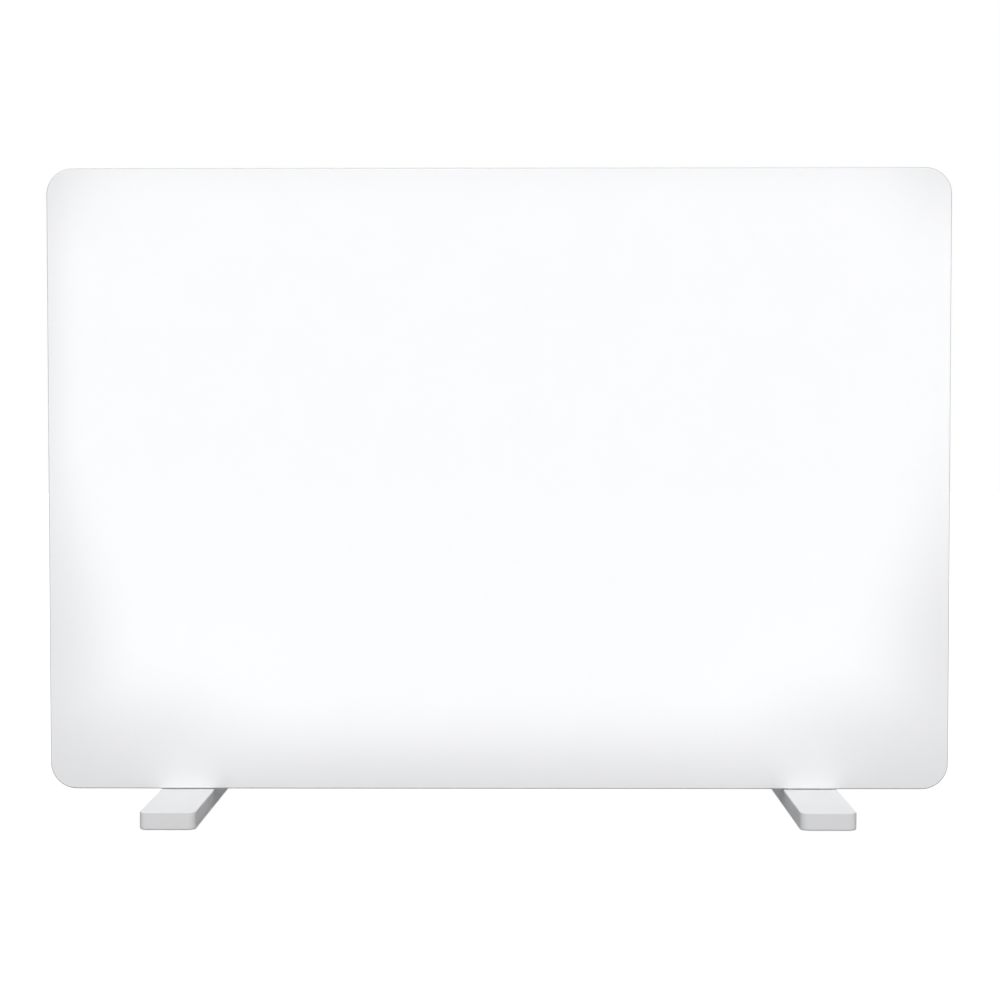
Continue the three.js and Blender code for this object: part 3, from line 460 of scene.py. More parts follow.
@dataclass(frozen=True)
class Finish:
    """A surface: two close shades in broad patches, a fine grain and rubbed edges.

    The gloss is the lowest and highest roughness, the depth is the grain's height, rubbed is the colour at
    worn edges, reach and wear are how far that goes and how strong it is, and coat is a clear layer's weight.
    The spreads are the parts of a noise's range over which the shades, the wear and the gloss change.
    """

    shade_spread = (0.35, 0.65)
    wear_spread = (0.42, 0.62)
    gloss_spread = (0.3, 0.7)

    name: str
    shade: Triple
    other: Triple
    gloss: Pair
    patch: float = 20.0
    grain: float = 0.8
    depth: float = 0.01
    metal: float = 0.0
    rubbed: Triple | None = None
    reach: float = 0.6
    wear: float = 0.5
    coat: float = 0.0
    shine: float = 0.5

    def tint(self, bench: Bench) -> Socket:
        """The colour before wear: the two shades mixed by broad noise."""
        return bench.mixed(bench.span(bench.noise(self.patch), *self.shade_spread), self.shade, self.other)

    def relief(self, bench: Bench) -> Socket:
        """The normal: fine noise raised by the grain's depth."""
        return bench.bump(bench.noise(self.grain, 2.0), self.depth)

    def adjust(self, bench: Bench) -> None:
        """Set what only one kind of finish needs."""

    def material(self) -> bpy.types.Material:
        """Build the material, once: the rubbed colour's share is the edge times broken noise times the wear.

        Returns:
            The new material, or the one already built.
        """
        known = bpy.data.materials.get(self.name)
        if known is not None:
            return known
        bench = Bench(self.name)
        colour = self.tint(bench)
        if self.rubbed is not None:
            broken = bench.span(bench.noise(self.grain * 4, 4.0), *self.wear_spread)
            share = bench.maths("MULTIPLY", bench.edge(self.reach), broken)
            colour = bench.mixed(bench.maths("MULTIPLY", share, self.wear), colour, self.rubbed)
        rough = bench.span(bench.noise(self.patch * 0.6, 4.0), *self.gloss_spread, *self.gloss)
        bench.fill(bench.shader, {"Base Color": colour, "Roughness": rough, "Normal": self.relief(bench),
                                  "Metallic": self.metal, "Specular IOR Level": self.shine,
                                  "Coat Weight": self.coat, "Coat Roughness": self.gloss[0]})
        self.adjust(bench)
        return bench.material

    def printed(self, name: str, centre: Triple, **print_on: object) -> "Legend":
        """The same plastic, smoother and less worn, with a mark printed at this centre."""
        same = asdict(self) | {"name": name, "depth": 0.006, "wear": self.wear - 0.1}
        return Legend(**same, centre=centre, **print_on)


@dataclass(frozen=True)
class EnamelledGlass(Finish):
    """White enamel fired behind polished glass, with the faint roller waves of toughening in its surface."""

    wave: float = 190.0
    wave_depth: float = 0.012

    def adjust(self, bench: Bench) -> None:
        """Lay the clear glass over the enamel."""
        waves = bench.bump(bench.noise(self.wave, 1.0, (0.35, 1.0, 1.0)), self.wave_depth)
        bench.fill(bench.shader, {"Coat Roughness": 0.02, "Coat IOR": 1.5, "Coat Normal": waves})


@dataclass(frozen=True)
class GroundGlass(Finish):
    """The ground edge of a sheet, with fine grinding marks across it."""

    def relief(self, bench: Bench) -> Socket:
        """Marks of the wheel, short across the edge and long along it."""
        return bench.bump(bench.noise(self.grain, 3.0, (0.25, 3.0, 0.25)), self.depth)


@dataclass(frozen=True)
class PlatedSteel(Finish):
    """Bright zinc on steel: small crystals, fine scratches and a cool cast."""

    def tint(self, bench: Bench) -> Socket:
        """Crystals a shade apart, with broad cloudy patches over them."""
        both = [bench.span(bench.noise(*size), 0.3, 0.7) for size in ((self.grain, 2.0), (self.patch,))]
        return bench.mixed(bench.maths("MULTIPLY", *both), self.shade, self.other)

    def relief(self, bench: Bench) -> Socket:
        """Cells of the plating under fine scratches."""
        cells = bench.bump(bench.cells(self.grain), self.depth)
        return bench.bump(bench.noise(self.grain * 0.5, 2.0, (0.1, 1.0, 1.0)), self.depth * 0.6, cells)


@dataclass(frozen=True)
class PressedFelt(Finish):
    """Felt: matted fibres in two crossing directions, with a soft nap."""

    def relief(self, bench: Bench) -> Socket:
        """Fibres along X under fibres along Z."""
        along = bench.bump(bench.noise(self.grain, 4.0, (0.12, 1.0, 1.0)), self.depth)
        return bench.bump(bench.noise(self.grain, 4.0, (1.0, 1.0, 0.12)), self.depth, along)

    def adjust(self, bench: Bench) -> None:
        """Give it a nap."""
        bench.fill(bench.shader, {"Sheen Weight": 0.4, "Sheen Roughness": 0.6})


@dataclass(frozen=True)
class MicaPaper(Finish):
    """Mica paper: overlapping flakes that glint a little."""

    def tint(self, bench: Bench) -> Socket:
        """Flakes that differ in shade."""
        return bench.mixed(bench.span(bench.cells(self.grain), 0.1, 0.9), self.shade, self.other)

    def relief(self, bench: Bench) -> Socket:
        """Flakes with raised rims."""
        return bench.bump(bench.cells(self.grain), self.depth)


@dataclass(frozen=True)
class PrintedTrack(Finish):
    """Carbon ink laid on foil by a screen, whose mesh it still shows."""

    mesh: float = 0.5

    def relief(self, bench: Bench) -> Socket:
        """Two crossing sets of threads."""
        along = bench.bump(bench.bands(self.mesh, "X"), self.depth)
        return bench.bump(bench.bands(self.mesh, "Z"), self.depth, along)


@dataclass(frozen=True)
class CircuitBoard(Finish):
    """Green lacquer over copper tracks on laminate."""

    track: float = 3.0

    def tint(self, bench: Bench) -> Socket:
        """Tracks lighter than the ground between them."""
        return bench.mixed(bench.span(bench.bands(self.track, "Z", 1.4), 0.62, 0.7), self.shade, self.other)

    def relief(self, bench: Bench) -> Socket:
        """Tracks stand up under the lacquer, over the laminate's weave."""
        weave = bench.bump(bench.noise(self.grain, 2.0), self.depth * 0.4)
        return bench.bump(bench.span(bench.bands(self.track, "Z", 1.4), 0.6, 0.72), self.depth, weave)


@dataclass(frozen=True)
class WoundWire(Finish):
    """Lacquered wire wound turn beside turn."""

    turn: float = 0.7

    def tint(self, bench: Bench) -> Socket:
        """Painted shade: each turn darkens towards the gaps beside it, where shade falls between the turns.
        """
        # painted shade: the darker colour lies in the gaps between turns
        return bench.mixed(bench.span(bench.bands(self.turn, "Z"), 0.1, 0.6), self.other, self.shade)

    def relief(self, bench: Bench) -> Socket:
        """Round turns."""
        return bench.bump(bench.bands(self.turn, "Z"), self.depth)


@dataclass(frozen=True)
class Legend(Finish):
    """Moulded plastic with a mark printed on it.

    A ring is a radius and a line width. A gap in the rings, or a bar, is a height over the mark's centre,
    half a width and half a height.
    """

    centre: Triple = (0.0, 0.0, 0.0)
    rings: tuple[Pair, ...] = ()
    gaps: tuple[Triple, ...] = ()
    bars: tuple[Triple, ...] = ()
    ink: Triple = (0.08, 0.085, 0.09)

    def stroke(self, bench: Bench, rise: float, half_width: float, half_height: float) -> Socket:
        """A bar over the mark's middle, deep enough to go through the plastic."""
        x, y, z = self.centre
        return bench.bar((x, y, z + rise), (9.0, half_width, half_height))

    def tint(self, bench: Bench) -> Socket:
        """The plastic's colour, with ink over it where rings less gaps, or bars, are.

        Args:
            bench: the material in the making.

        Returns:
            The colour.
        """
        drawn = 0.0
        for ring in self.rings:
            drawn = bench.maths("MAXIMUM", drawn, bench.ring(self.centre, *ring))
        for gap in self.gaps:
            drawn = bench.maths("SUBTRACT", drawn, self.stroke(bench, *gap))
        for bar in self.bars:
            drawn = bench.maths("MAXIMUM", drawn, self.stroke(bench, *bar))
        return bench.mixed(drawn, super().tint(bench), self.ink)


ENAMEL = EnamelledGlass("white_enamelled_glass", (0.875, 0.879, 0.891), (0.881, 0.884, 0.896), (0.3, 0.4),
                        patch=60.0, grain=0.5, depth=0.002, coat=1.0, shine=0.2)
GROUND_EDGE = GroundGlass("ground_glass_edge", (0.575, 0.602, 0.598), (0.635, 0.655, 0.65), (0.28, 0.42),
                          patch=8.0, grain=0.35, depth=0.006)
SEALANT = Finish("edge_sealant", (0.66, 0.66, 0.65), (0.70, 0.70, 0.685), (0.4, 0.55), patch=12.0, grain=1.5,
                 depth=0.02)
TRACK = PrintedTrack("carbon_print", (0.022, 0.022, 0.024), (0.032, 0.032, 0.034), (0.45, 0.6))
MICA = MicaPaper("mica_paper", (0.50, 0.42, 0.27), (0.60, 0.53, 0.38), (0.3, 0.55), grain=2.2, depth=0.03)
FELT = PressedFelt("insulating_felt", (0.74, 0.71, 0.64), (0.66, 0.63, 0.56), (0.9, 1.0), grain=0.4,
                   depth=0.08)
PAINT = Finish("white_powder_coat", (0.816, 0.817, 0.829), (0.828, 0.829, 0.839), (0.56, 0.66), patch=35.0,
               grain=1.1, depth=0.006, rubbed=(0.60, 0.61, 0.62), reach=0.5, wear=0.35, shine=0.05)
RUBBER = Finish("pad_rubber", (0.045, 0.045, 0.047), (0.06, 0.06, 0.06), (0.75, 0.92), patch=4.0, grain=0.5,
                depth=0.04, rubbed=(0.16, 0.155, 0.15), reach=0.5, wear=0.6)
ZINC = PlatedSteel("zinc_plate", (0.60, 0.62, 0.645), (0.50, 0.51, 0.53), (0.22, 0.4), patch=9.0, grain=0.6,
                   depth=0.006, metal=1.0, rubbed=(0.78, 0.79, 0.8), reach=0.3, wear=0.7)
WHITE_PLASTIC = Finish("white_moulding", (0.80, 0.80, 0.79), (0.815, 0.815, 0.805), (0.42, 0.55), patch=25.0,
                       grain=0.45, depth=0.012, rubbed=(0.87, 0.87, 0.865))
GREY_PLASTIC = Finish("grey_moulding", (0.46, 0.47, 0.48), (0.49, 0.50, 0.51), (0.4, 0.52), patch=14.0,
                      grain=0.4, rubbed=(0.6, 0.6, 0.61), reach=0.4)
BLACK_PLASTIC = Finish("black_moulding", (0.016, 0.016, 0.018), (0.023, 0.023, 0.025), (0.32, 0.46),
                       patch=10.0, grain=0.35, depth=0.008, rubbed=(0.075, 0.075, 0.08), reach=0.35, wear=0.7)
LENS = Finish("smoked_window", (0.006, 0.0065, 0.008), (0.009, 0.0095, 0.011), (0.04, 0.09), patch=15.0,
              grain=2.0, depth=0.001, rubbed=(0.04, 0.04, 0.045), reach=0.3)
BOARD = CircuitBoard("circuit_laminate", (0.012, 0.10, 0.045), (0.03, 0.19, 0.085), (0.3, 0.45), grain=0.4,
                     depth=0.03, coat=0.5)
SLEEVE = Finish("wire_sleeve", (0.42, 0.035, 0.025), (0.47, 0.045, 0.03), (0.38, 0.5), patch=5.0, grain=0.4,
                depth=0.02)
BRASS = PlatedSteel("brass", (0.58, 0.41, 0.14), (0.47, 0.32, 0.10), (0.22, 0.4), patch=6.0, grain=0.4,
                    depth=0.006, metal=1.0, rubbed=(0.75, 0.58, 0.26), reach=0.3, wear=0.6)
# The winding's second, darker colour is painted shade, laid in the gaps between the turns.
WINDING = WoundWire("copper_winding", (0.55, 0.20, 0.07), (0.14, 0.045, 0.02), (0.25, 0.4), patch=5.0,
                    grain=0.7, depth=0.12, metal=0.6)


# Meshes


def new_mesh(name: str, shape: Shape) -> bpy.types.Object:
    """Put a shape in the scene.

    Args:
        name: the object's name.
        shape: its surface.

    Returns:
        The object, in the shape's own unit.
    """
    mesh = bpy.data.meshes.new(name)
    mesh.from_pydata(shape.points.tolist(), [], shape.faces)
    made = bpy.data.objects.new(name, mesh)
    bpy.context.scene.collection.objects.link(made)
    return made


def work(target: bpy.types.Object, how: Join, *tools: Shape) -> None:
    """Join tool shapes to a piece or take them out of it.

    Args:
        target: the piece, in millimetres.
        how: whether they are added or taken away.
        tools: shapes that don't meet each other.
    """
    starts = np.cumsum([0] + [len(shape.points) for shape in tools]).tolist()
    faces = [[start + i for i in face] for start, shape in zip(starts, tools) for face in shape.faces]
    tool = new_mesh("tool", Shape(np.vstack([shape.points for shape in tools]), faces))
    step = target.modifiers.new("work", "BOOLEAN")
    step.operation, step.solver, step.object = how.value, "MANIFOLD", tool
    graph = bpy.context.evaluated_depsgraph_get()
    made = bpy.data.meshes.new_from_object(target.evaluated_get(graph))
    target.modifiers.clear()
    spent = (target.data, tool.data)
    target.data = made
    bpy.data.objects.remove(tool, do_unlink=True)
    bpy.data.batch_remove(spent)


@dataclass(frozen=True)
class Piece:
    """What a finished piece is called and stands for.

    The slot is the record's and is not used here, the body is what it moves with, the place is where its
    mesh's origin goes, and sharp is the angle in degrees past which an edge shades as a crease.
    """

    name: str
    nodes: tuple[str, ...]
    slot: str
    body: str = "heater"
    place: Triple = (0.0, 0.0, 0.0)
    sharp: float = 34.0

    def finish(self, made: bpy.types.Object, *finishes: Finish) -> None:
        """Put a mesh in its place, turn it into metres, shade it, dress it and hand it to its body.

        Args:
            made: the mesh in millimetres.
            finishes: the finishes of its slots.
        """
        mesh = made.data
        made.name = mesh.name = self.name
        mesh.transform(Matrix.Translation(self.place))
        mesh.transform(Matrix.Scale(MM, 4))
        mesh.polygons.foreach_set("use_smooth", np.ones(len(mesh.polygons), bool))
        mesh.set_sharp_from_angle(angle=math.radians(self.sharp))
        made.modifiers.new("even_normals", "WEIGHTED_NORMAL").keep_sharp = True
        mesh.materials.clear()
        for finish in finishes:
            mesh.materials.append(finish.material())
        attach(made, self.body)
        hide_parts(*self.nodes)
        log.info("%s: %d faces, for %s", self.name, len(mesh.polygons), ", ".join(self.nodes))


def dress_nodes(finish: Finish, *names: str) -> None:
    """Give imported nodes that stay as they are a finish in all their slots.

    Args:
        finish: the finish.
        names: the nodes.
    """
    for name in names:
        for slot in frame["nodes"][name].material_slots:
            slot.material = finish.material()
        log.info("%s: kept, dressed in %s", name, finish.name)


# Panel


@dataclass
class GlassPanel:
    """Two glass sheets with a sealed space between them, where the element and its mats lie.

    The arris is the ground chamfer, ease the radius where it meets the faces, rim the ring of face inside it,
    and level the part along Y that a face's normal must pass, or else the face counts as ground.
    """

    width: float = 785.0
    height: float = 541.0
    corner: float = 23.0
    thickness: float = 4.0
    arris: float = 0.8
    ease: float = 0.16
    rim: float = 4.0
    level: float = 0.97
    middle: float = 287.0
    space: float = 4.0
    seal_width: float = 8.0
    seal_inset: float = 1.0
    seal_gap: float = 0.3
    leads: tuple[Pair, ...] = ((351.5, 159.5), (351.5, 179.5))
    lead_hole: float = 2.5

    def sheet(self, name: str, node: str, front: float, holes: Sequence[Pair] = ()) -> None:
        """Make one sheet: a raised oblong whose ground chamfers meet the faces in a small round.

        Args:
            name: the piece's name.
            node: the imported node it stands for.
            front: where its front face lies along Y.
            holes: where the leads go through it, along X and Z.
        """
        end, inner = self.thickness, self.arris + self.rim
        section = [(0.0, inner), (0.0, self.arris), (self.arris, 0.0), (end - self.arris, 0.0),
                   (end, self.arris), (end, inner)]
        levels = line_of(section, self.ease, 3)
        shape = raised(oblong(self.width, self.height, self.corner, 28), levels).rearward()
        made = new_mesh(name, shape.at(0, front, self.middle))
        bar = raised(circle(self.lead_hole, 40), [(front - 1, 0), (front + end + 1, 0)]).rearward()
        if holes:
            work(made, Join.TAKE, *(bar.at(x, 0, z) for x, z in holes))
        Piece(name, (node,), "white_glass", sharp=40.0).finish(made, ENAMEL, GROUND_EDGE)
        normals = np.zeros(len(made.data.polygons) * 3, np.float32)
        made.data.polygons.foreach_get("normal", normals)
        ground = (np.abs(normals[1::3]) <= self.level).astype(np.int32)
        made.data.polygons.foreach_set("material_index", ground)

    def bead(self) -> None:
        """Make the seal: a flat section, hollowed a little at its outer side, carried round the panel."""
        half, inset, floor = self.space / 2 - self.seal_gap, 2 * self.seal_inset, -0.35
        section = [(-half, -self.seal_width), (-half, 0.0), (-half * 0.4, floor), (half * 0.4, floor),
                   (half, 0.0), (half, -self.seal_width)]
        levels = outline_of(section, 0.25, 3) * np.array([1.0, -1.0])
        outline = oblong(self.width - inset, self.height - inset, self.corner - self.seal_inset, 24)
        made = new_mesh("bead", raised(outline, levels, True).rearward().at(0, 0, self.middle))
        Piece("edge_bead", ("edge_seal",), "edge_silicone").finish(made, SEALANT)

    def build(self) -> None:
        """Make the sheets and the seal, and dress what lies between them."""
        rear = self.space / 2
        self.sheet("front_sheet", "front_glass", -rear - self.thickness)
        self.sheet("rear_sheet", "rear_glass", rear, self.leads)
        self.bead()
        dress_nodes(TRACK, "heating_film")
        dress_nodes(MICA, "mica_sheet")
        dress_nodes(FELT, "insulation_felt")


# Screws


@dataclass(frozen=True)
class Screw:
    """A screw along its own third direction, its head from height 0 up.

    The shank is the radius over the thread, the head the radius and height of its corners up the outside, the
    socket the radius and depth of the recess in its top, and ease the radius of the head's edges.
    """

    shank: float
    length: float
    head: tuple[Pair, ...]
    drive: Drive
    socket: Pair
    pitch: float = 0.8
    ease: float = 0.25
    sides: int = 72

    def shaped(self, radius: Array, height: Array, angle: Array) -> Array:
        """Cut the thread, the knurl or the recess into the rings.

        The thread takes 0.16 (1 + cos(2 pi h / pitch - angle)) off the shank, the knurl 0.3 |sin(18 angle)|
        off the head. A hexagon has the radius r cos 30 / cos(angle from its side's middle), and a cross the
        longer of the reaches of its two bars, each 4/15 r either side of its middle.

        Args:
            radius: the profile's radius at each point.
            height: its height.
            angle: its angle.

        Returns:
            The radius that the point gets.
        """
        groove = 0.16 * (1 + np.cos(2 * np.pi * height / self.pitch - angle))
        made = np.where((height < -0.15) & (radius > self.shank * 0.9), radius - groove, radius)
        if self.drive is Drive.KNURL:
            side = (radius > max(self.head)[0] - 0.15) & (height > 0)
            return np.where(side, made - 0.3 * np.abs(np.sin(18 * angle)), made)
        upper = np.arange(len(radius))[:, None] > len(radius) // 2
        recess = (height > 0) & (radius <= self.socket[0] + 1e-6) & upper
        if self.drive is Drive.HEXAGON:
            side = np.mod(angle, np.pi / 3) - np.pi / 6
            return np.where(recess, made * math.cos(math.pi / 6) / np.cos(side), made)
        bars = [np.minimum(1.0, 4 / 15 / np.maximum(np.abs(way(angle)), 1e-6)) for way in (np.sin, np.cos)]
        return np.where(recess, made * np.maximum(*bars), made)

    def shape(self) -> Shape:
        """Turn its outside: tip, threaded shank, head and recess.

        Returns:
            The screw's surface.
        """
        turns = np.linspace(0.6 - self.length, -0.2, int(self.length / self.pitch * 6))
        shank = np.stack([np.full_like(turns, self.shank), turns], 1)
        tip = [[0.3, -self.length], [self.shank - 0.6, -self.length]]
        (radius, depth), top = self.socket, self.head[-1][1]
        rim = [(radius, top), (radius * 0.96, top - depth), (0.3, top - depth)]
        head = line_of([(self.shank, -0.1), *self.head, *rim], self.ease, 3)
        return turned(np.vstack([tip, shank, head]), self.sides, self.shaped)


THUMB_SCREW = Screw(2.4, 8.3, ((6.5, 0.0), (6.5, 1.5), (8.0, 1.5), (8.0, 8.0), (7.0, 9.0)), Drive.KNURL,
                    (5.2, 0.5), sides=144)
FOOT_SCREW = Screw(2.4, 13.4, ((4.6, 0.0), (4.6, 1.4), (3.3, 2.8)), Drive.HEXAGON, (1.8, 1.4))
COVER_SCREW = Screw(1.4, 12.0, ((2.9, 0.0), (2.9, 1.0), (2.2, 2.0)), Drive.CROSS, (1.5, 1.1), 1.0, 0.15)


# Supports


@dataclass
class Support:
    """One foot with its pads, and the rail and bracket that hold the panel on it."""

    side: Side
    place: float = 272.5
    foot_size: Triple = (47.0, 227.0, 15.0)
    foot_low: float = 1.0
    corner: float = 7.0
    fillet: float = 1.2
    wall: float = 3.0
    end_block: float = 30.0
    rib: float = 2.4
    rib_low: float = 2.0
    boss_wall: float = 3.3
    collar_wall: float = 1.9
    pad_place: float = 98.5
    pad_radius: float = 9.0
    pad_gap: float = 0.3
    screw_places: Pair = (36.6, 63.6)
    screw_seat: float = 19.1
    bore: float = 2.7
    rail_y: float = 6.3
    rail_z: float = 40.5
    rail_length: float = 460.0
    thumb_heights: Pair = (54.5, 88.5)
    thumb_seat: float = 19.4
    bracket_y: float = 16.6
    bracket_z: float = 16.3

    @property
    def x(self) -> float:
        """The support's middle along X."""
        return self.side.value * self.place

    @property
    def word(self) -> str:
        """The side's name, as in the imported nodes."""
        return self.side.name.lower()

    def foot(self) -> None:
        """Make the foot: a round-edged slab, hollow below between solid ends, with ribs and screw bosses."""
        width, length, height = self.foot_size
        levels = round_edges(0, height, self.fillet, self.fillet, 8)
        made = new_mesh("foot", raised(oblong(width, length, self.corner, 12), levels))
        ceiling, width, length = height - self.wall, width - 2 * self.wall, length - 2 * self.end_block
        rise = round_edges(-1.0, ceiling, 0.0, 2.0, 4)
        levels = np.vstack([[[-1.0, -0.4], [0.0, -0.4], [0.1, -0.22], [0.4, 0.0]], rise[rise[:, 0] > 0.5]])
        work(made, Join.TAKE, raised(oblong(width, length, self.corner - self.wall, 6), levels))
        low, high = self.rib_low, ceiling + 1.0
        rib = raised(oblong(width + 2, self.rib, 0.45, 3), round_edges(low, high, 0.3, 0.3, 3))
        work(made, Join.ADD, *(rib.at(0, y, 0) for y in (-length / 4, 0.0, length / 4)))
        boss = raised(circle(self.bore + self.boss_wall, 48), round_edges(low, high, 0.5, 0.1, 3))
        work(made, Join.ADD, *(boss.at(0, y, 0) for y in self.screw_places))
        bores = [rod(self.bore, 4.0, height, 0.3).at(0, y, 0) for y in self.screw_places]
        socket = raised(circle(self.pad_radius + self.pad_gap, 64), mirrored(flared(-2.3, 0.0, 0.25)))
        work(made, Join.TAKE, *bores, *(socket.at(0, y, 0) for y in (-self.pad_place, self.pad_place)))
        place = (self.x, 0, self.foot_low)
        Piece(f"{self.word}_bar_foot", (f"foot_{self.word}",), "white_paint", place=place).finish(made, PAINT)

    def pads(self) -> None:
        """Make the two pads: turned discs with two grooves round their undersides."""
        r = self.pad_radius
        section = [(0.2, 0.0), (2.6, 0.0), (3.0, 0.4), (3.4, 0.0), (5.6, 0.0), (6.0, 0.4), (6.4, 0.0),
                   (r - 0.5, 0.0), (r, 0.5), (r, 3.0), (0.2, 3.0)]
        shape = turned(line_of(section, 0.15, 3), 64)
        for end, y in (("front", -self.pad_place), ("rear", self.pad_place)):
            piece = Piece(f"{self.word}_{end}_pad", (f"foot_pad_{self.word}_{end}",), "pad_rubber")
            piece.finish(new_mesh("pad", shape.at(self.x, y, 0)), RUBBER)

    def rail(self) -> None:
        """Make the rail: a bent hat section carried up Z, with tapped collars below and a keyhole above."""
        half, crown, web, sheet, depth = 19.0, 12.0, 10.5, 1.5, 10.0
        face = depth - sheet
        corners = [(-half, 0), (-web, 0), (-web, face), (web, face), (web, 0), (half, 0), (half, sheet),
                   (crown, sheet), (crown, depth), (-crown, depth), (-crown, sheet), (-half, sheet)]
        radii = [0.45, 2.0, 0.8, 0.8, 2.0, 0.45, 0.45, 0.8, 2.3, 2.3, 0.8, 0.45]
        levels = round_edges(0, self.rail_length, 0.25, 0.25, 2)
        made = new_mesh("rail", raised(outline_of(corners, radii, 5), levels))
        heights = [z - self.rail_z for z in self.thumb_heights]
        levels = round_edges(face - 3.0, face + 0.7, 0.5, 0.05, 3)
        collar = raised(circle(self.bore + self.collar_wall, 48), levels)
        work(made, Join.ADD, *(collar.rearward().at(0, 0, z) for z in heights))
        bore = rod(self.bore, 1.0, depth, 0.3).rearward()
        work(made, Join.TAKE, *(bore.at(0, 0, z) for z in heights), self.keyhole(face - 1, depth))
        place = (self.x, self.rail_y, self.rail_z)
        Piece(f"{self.word}_rail", (f"rail_{self.word}",), "white_paint", place=place).finish(made, PAINT)

    def keyhole(self, low: float, high: float) -> Shape:
        """The shape that cuts the keyhole: the head's circle, open at the neck, and a half circle above.

        Args:
            low: where the cut starts along Y.
            high: the rail's outer face.

        Returns:
            The cutting shape, in the rail's own frame.
        """
        head, neck, rise, place = 5.5, 2.8, 14.0, self.rail_length - 40.0
        lean = math.asin(neck / head)
        below = np.linspace(np.pi / 2 + lean, 2.5 * np.pi - lean, 40)
        above = np.linspace(0, np.pi, 20)
        round_head, round_neck = (r * np.stack([np.cos(turn), np.sin(turn)], 1) + np.array([0, lift])
                                  for r, turn, lift in ((head, below, 0), (neck, above, rise)))
        return raised(np.vstack([round_head, round_neck]), flared(low, high, 0.3)).rearward().at(0, 0, place)

    def bracket(self) -> None:
        """Make the bracket: its side outline raised across X and hollowed to a back, a leg and two cheeks."""
        half, sheet, height, reach, slope = 17.0, 2.5, 84.2, 62.0, 70.2
        corners = [(0, 0), (reach, 0), (reach, sheet + 2.0), (sheet + 6.0, slope), (sheet, slope),
                   (sheet, height), (0, height)]
        outline = outline_of(corners, [1.6, 1.1, 2.5, 2.5, 1.2, 1.0, 1.0], 6)
        made = new_mesh("bracket", raised(outline, round_edges(-half, half, 0.6, 0.6, 4)).sideways())
        plan = oblong(2 * (half - sheet), 2 * reach, 2.6, 5)
        levels = round_edges(sheet, height + 20, 1.6, 0.05, 4)
        work(made, Join.TAKE, raised(plan, levels).at(0, sheet + reach, 0))
        bar = rod(self.bore, -1.0, sheet, 0.25)
        back = [bar.rearward().at(0, 0, z - self.bracket_z) for z in self.thumb_heights]
        work(made, Join.TAKE, *back, *(bar.at(0, y - self.bracket_y, 0) for y in self.screw_places))
        place = (self.x, self.bracket_y, self.bracket_z)
        piece = Piece(f"{self.word}_bracket", (f"foot_bracket_{self.word}",), "white_paint", place=place)
        piece.finish(made, PAINT)

    def screws(self) -> None:
        """Make the two thumb screws along Y and the two foot screws along Z."""
        thumb, foot = THUMB_SCREW.shape().rearward(), FOOT_SCREW.shape()
        places = {"lower_thumb": thumb.at(self.x, self.thumb_seat, self.thumb_heights[0]),
                  "upper_thumb": thumb.at(self.x, self.thumb_seat, self.thumb_heights[1]),
                  "inner_foot": foot.at(self.x, self.screw_places[0], self.screw_seat),
                  "outer_foot": foot.at(self.x, self.screw_places[1], self.screw_seat)}
        for name, shape in places.items():
            level, kind = name.split("_")
            piece = Piece(f"{self.word}_{name}_screw", (f"{kind}_screw_{self.word}_{level}",), "zinc_plate")
            piece.finish(new_mesh("screw", shape), ZINC)

    def build(self) -> None:
        """Make all pieces of the support."""
        for part in (self.foot, self.pads, self.rail, self.bracket, self.screws):
            part()


# Control unit


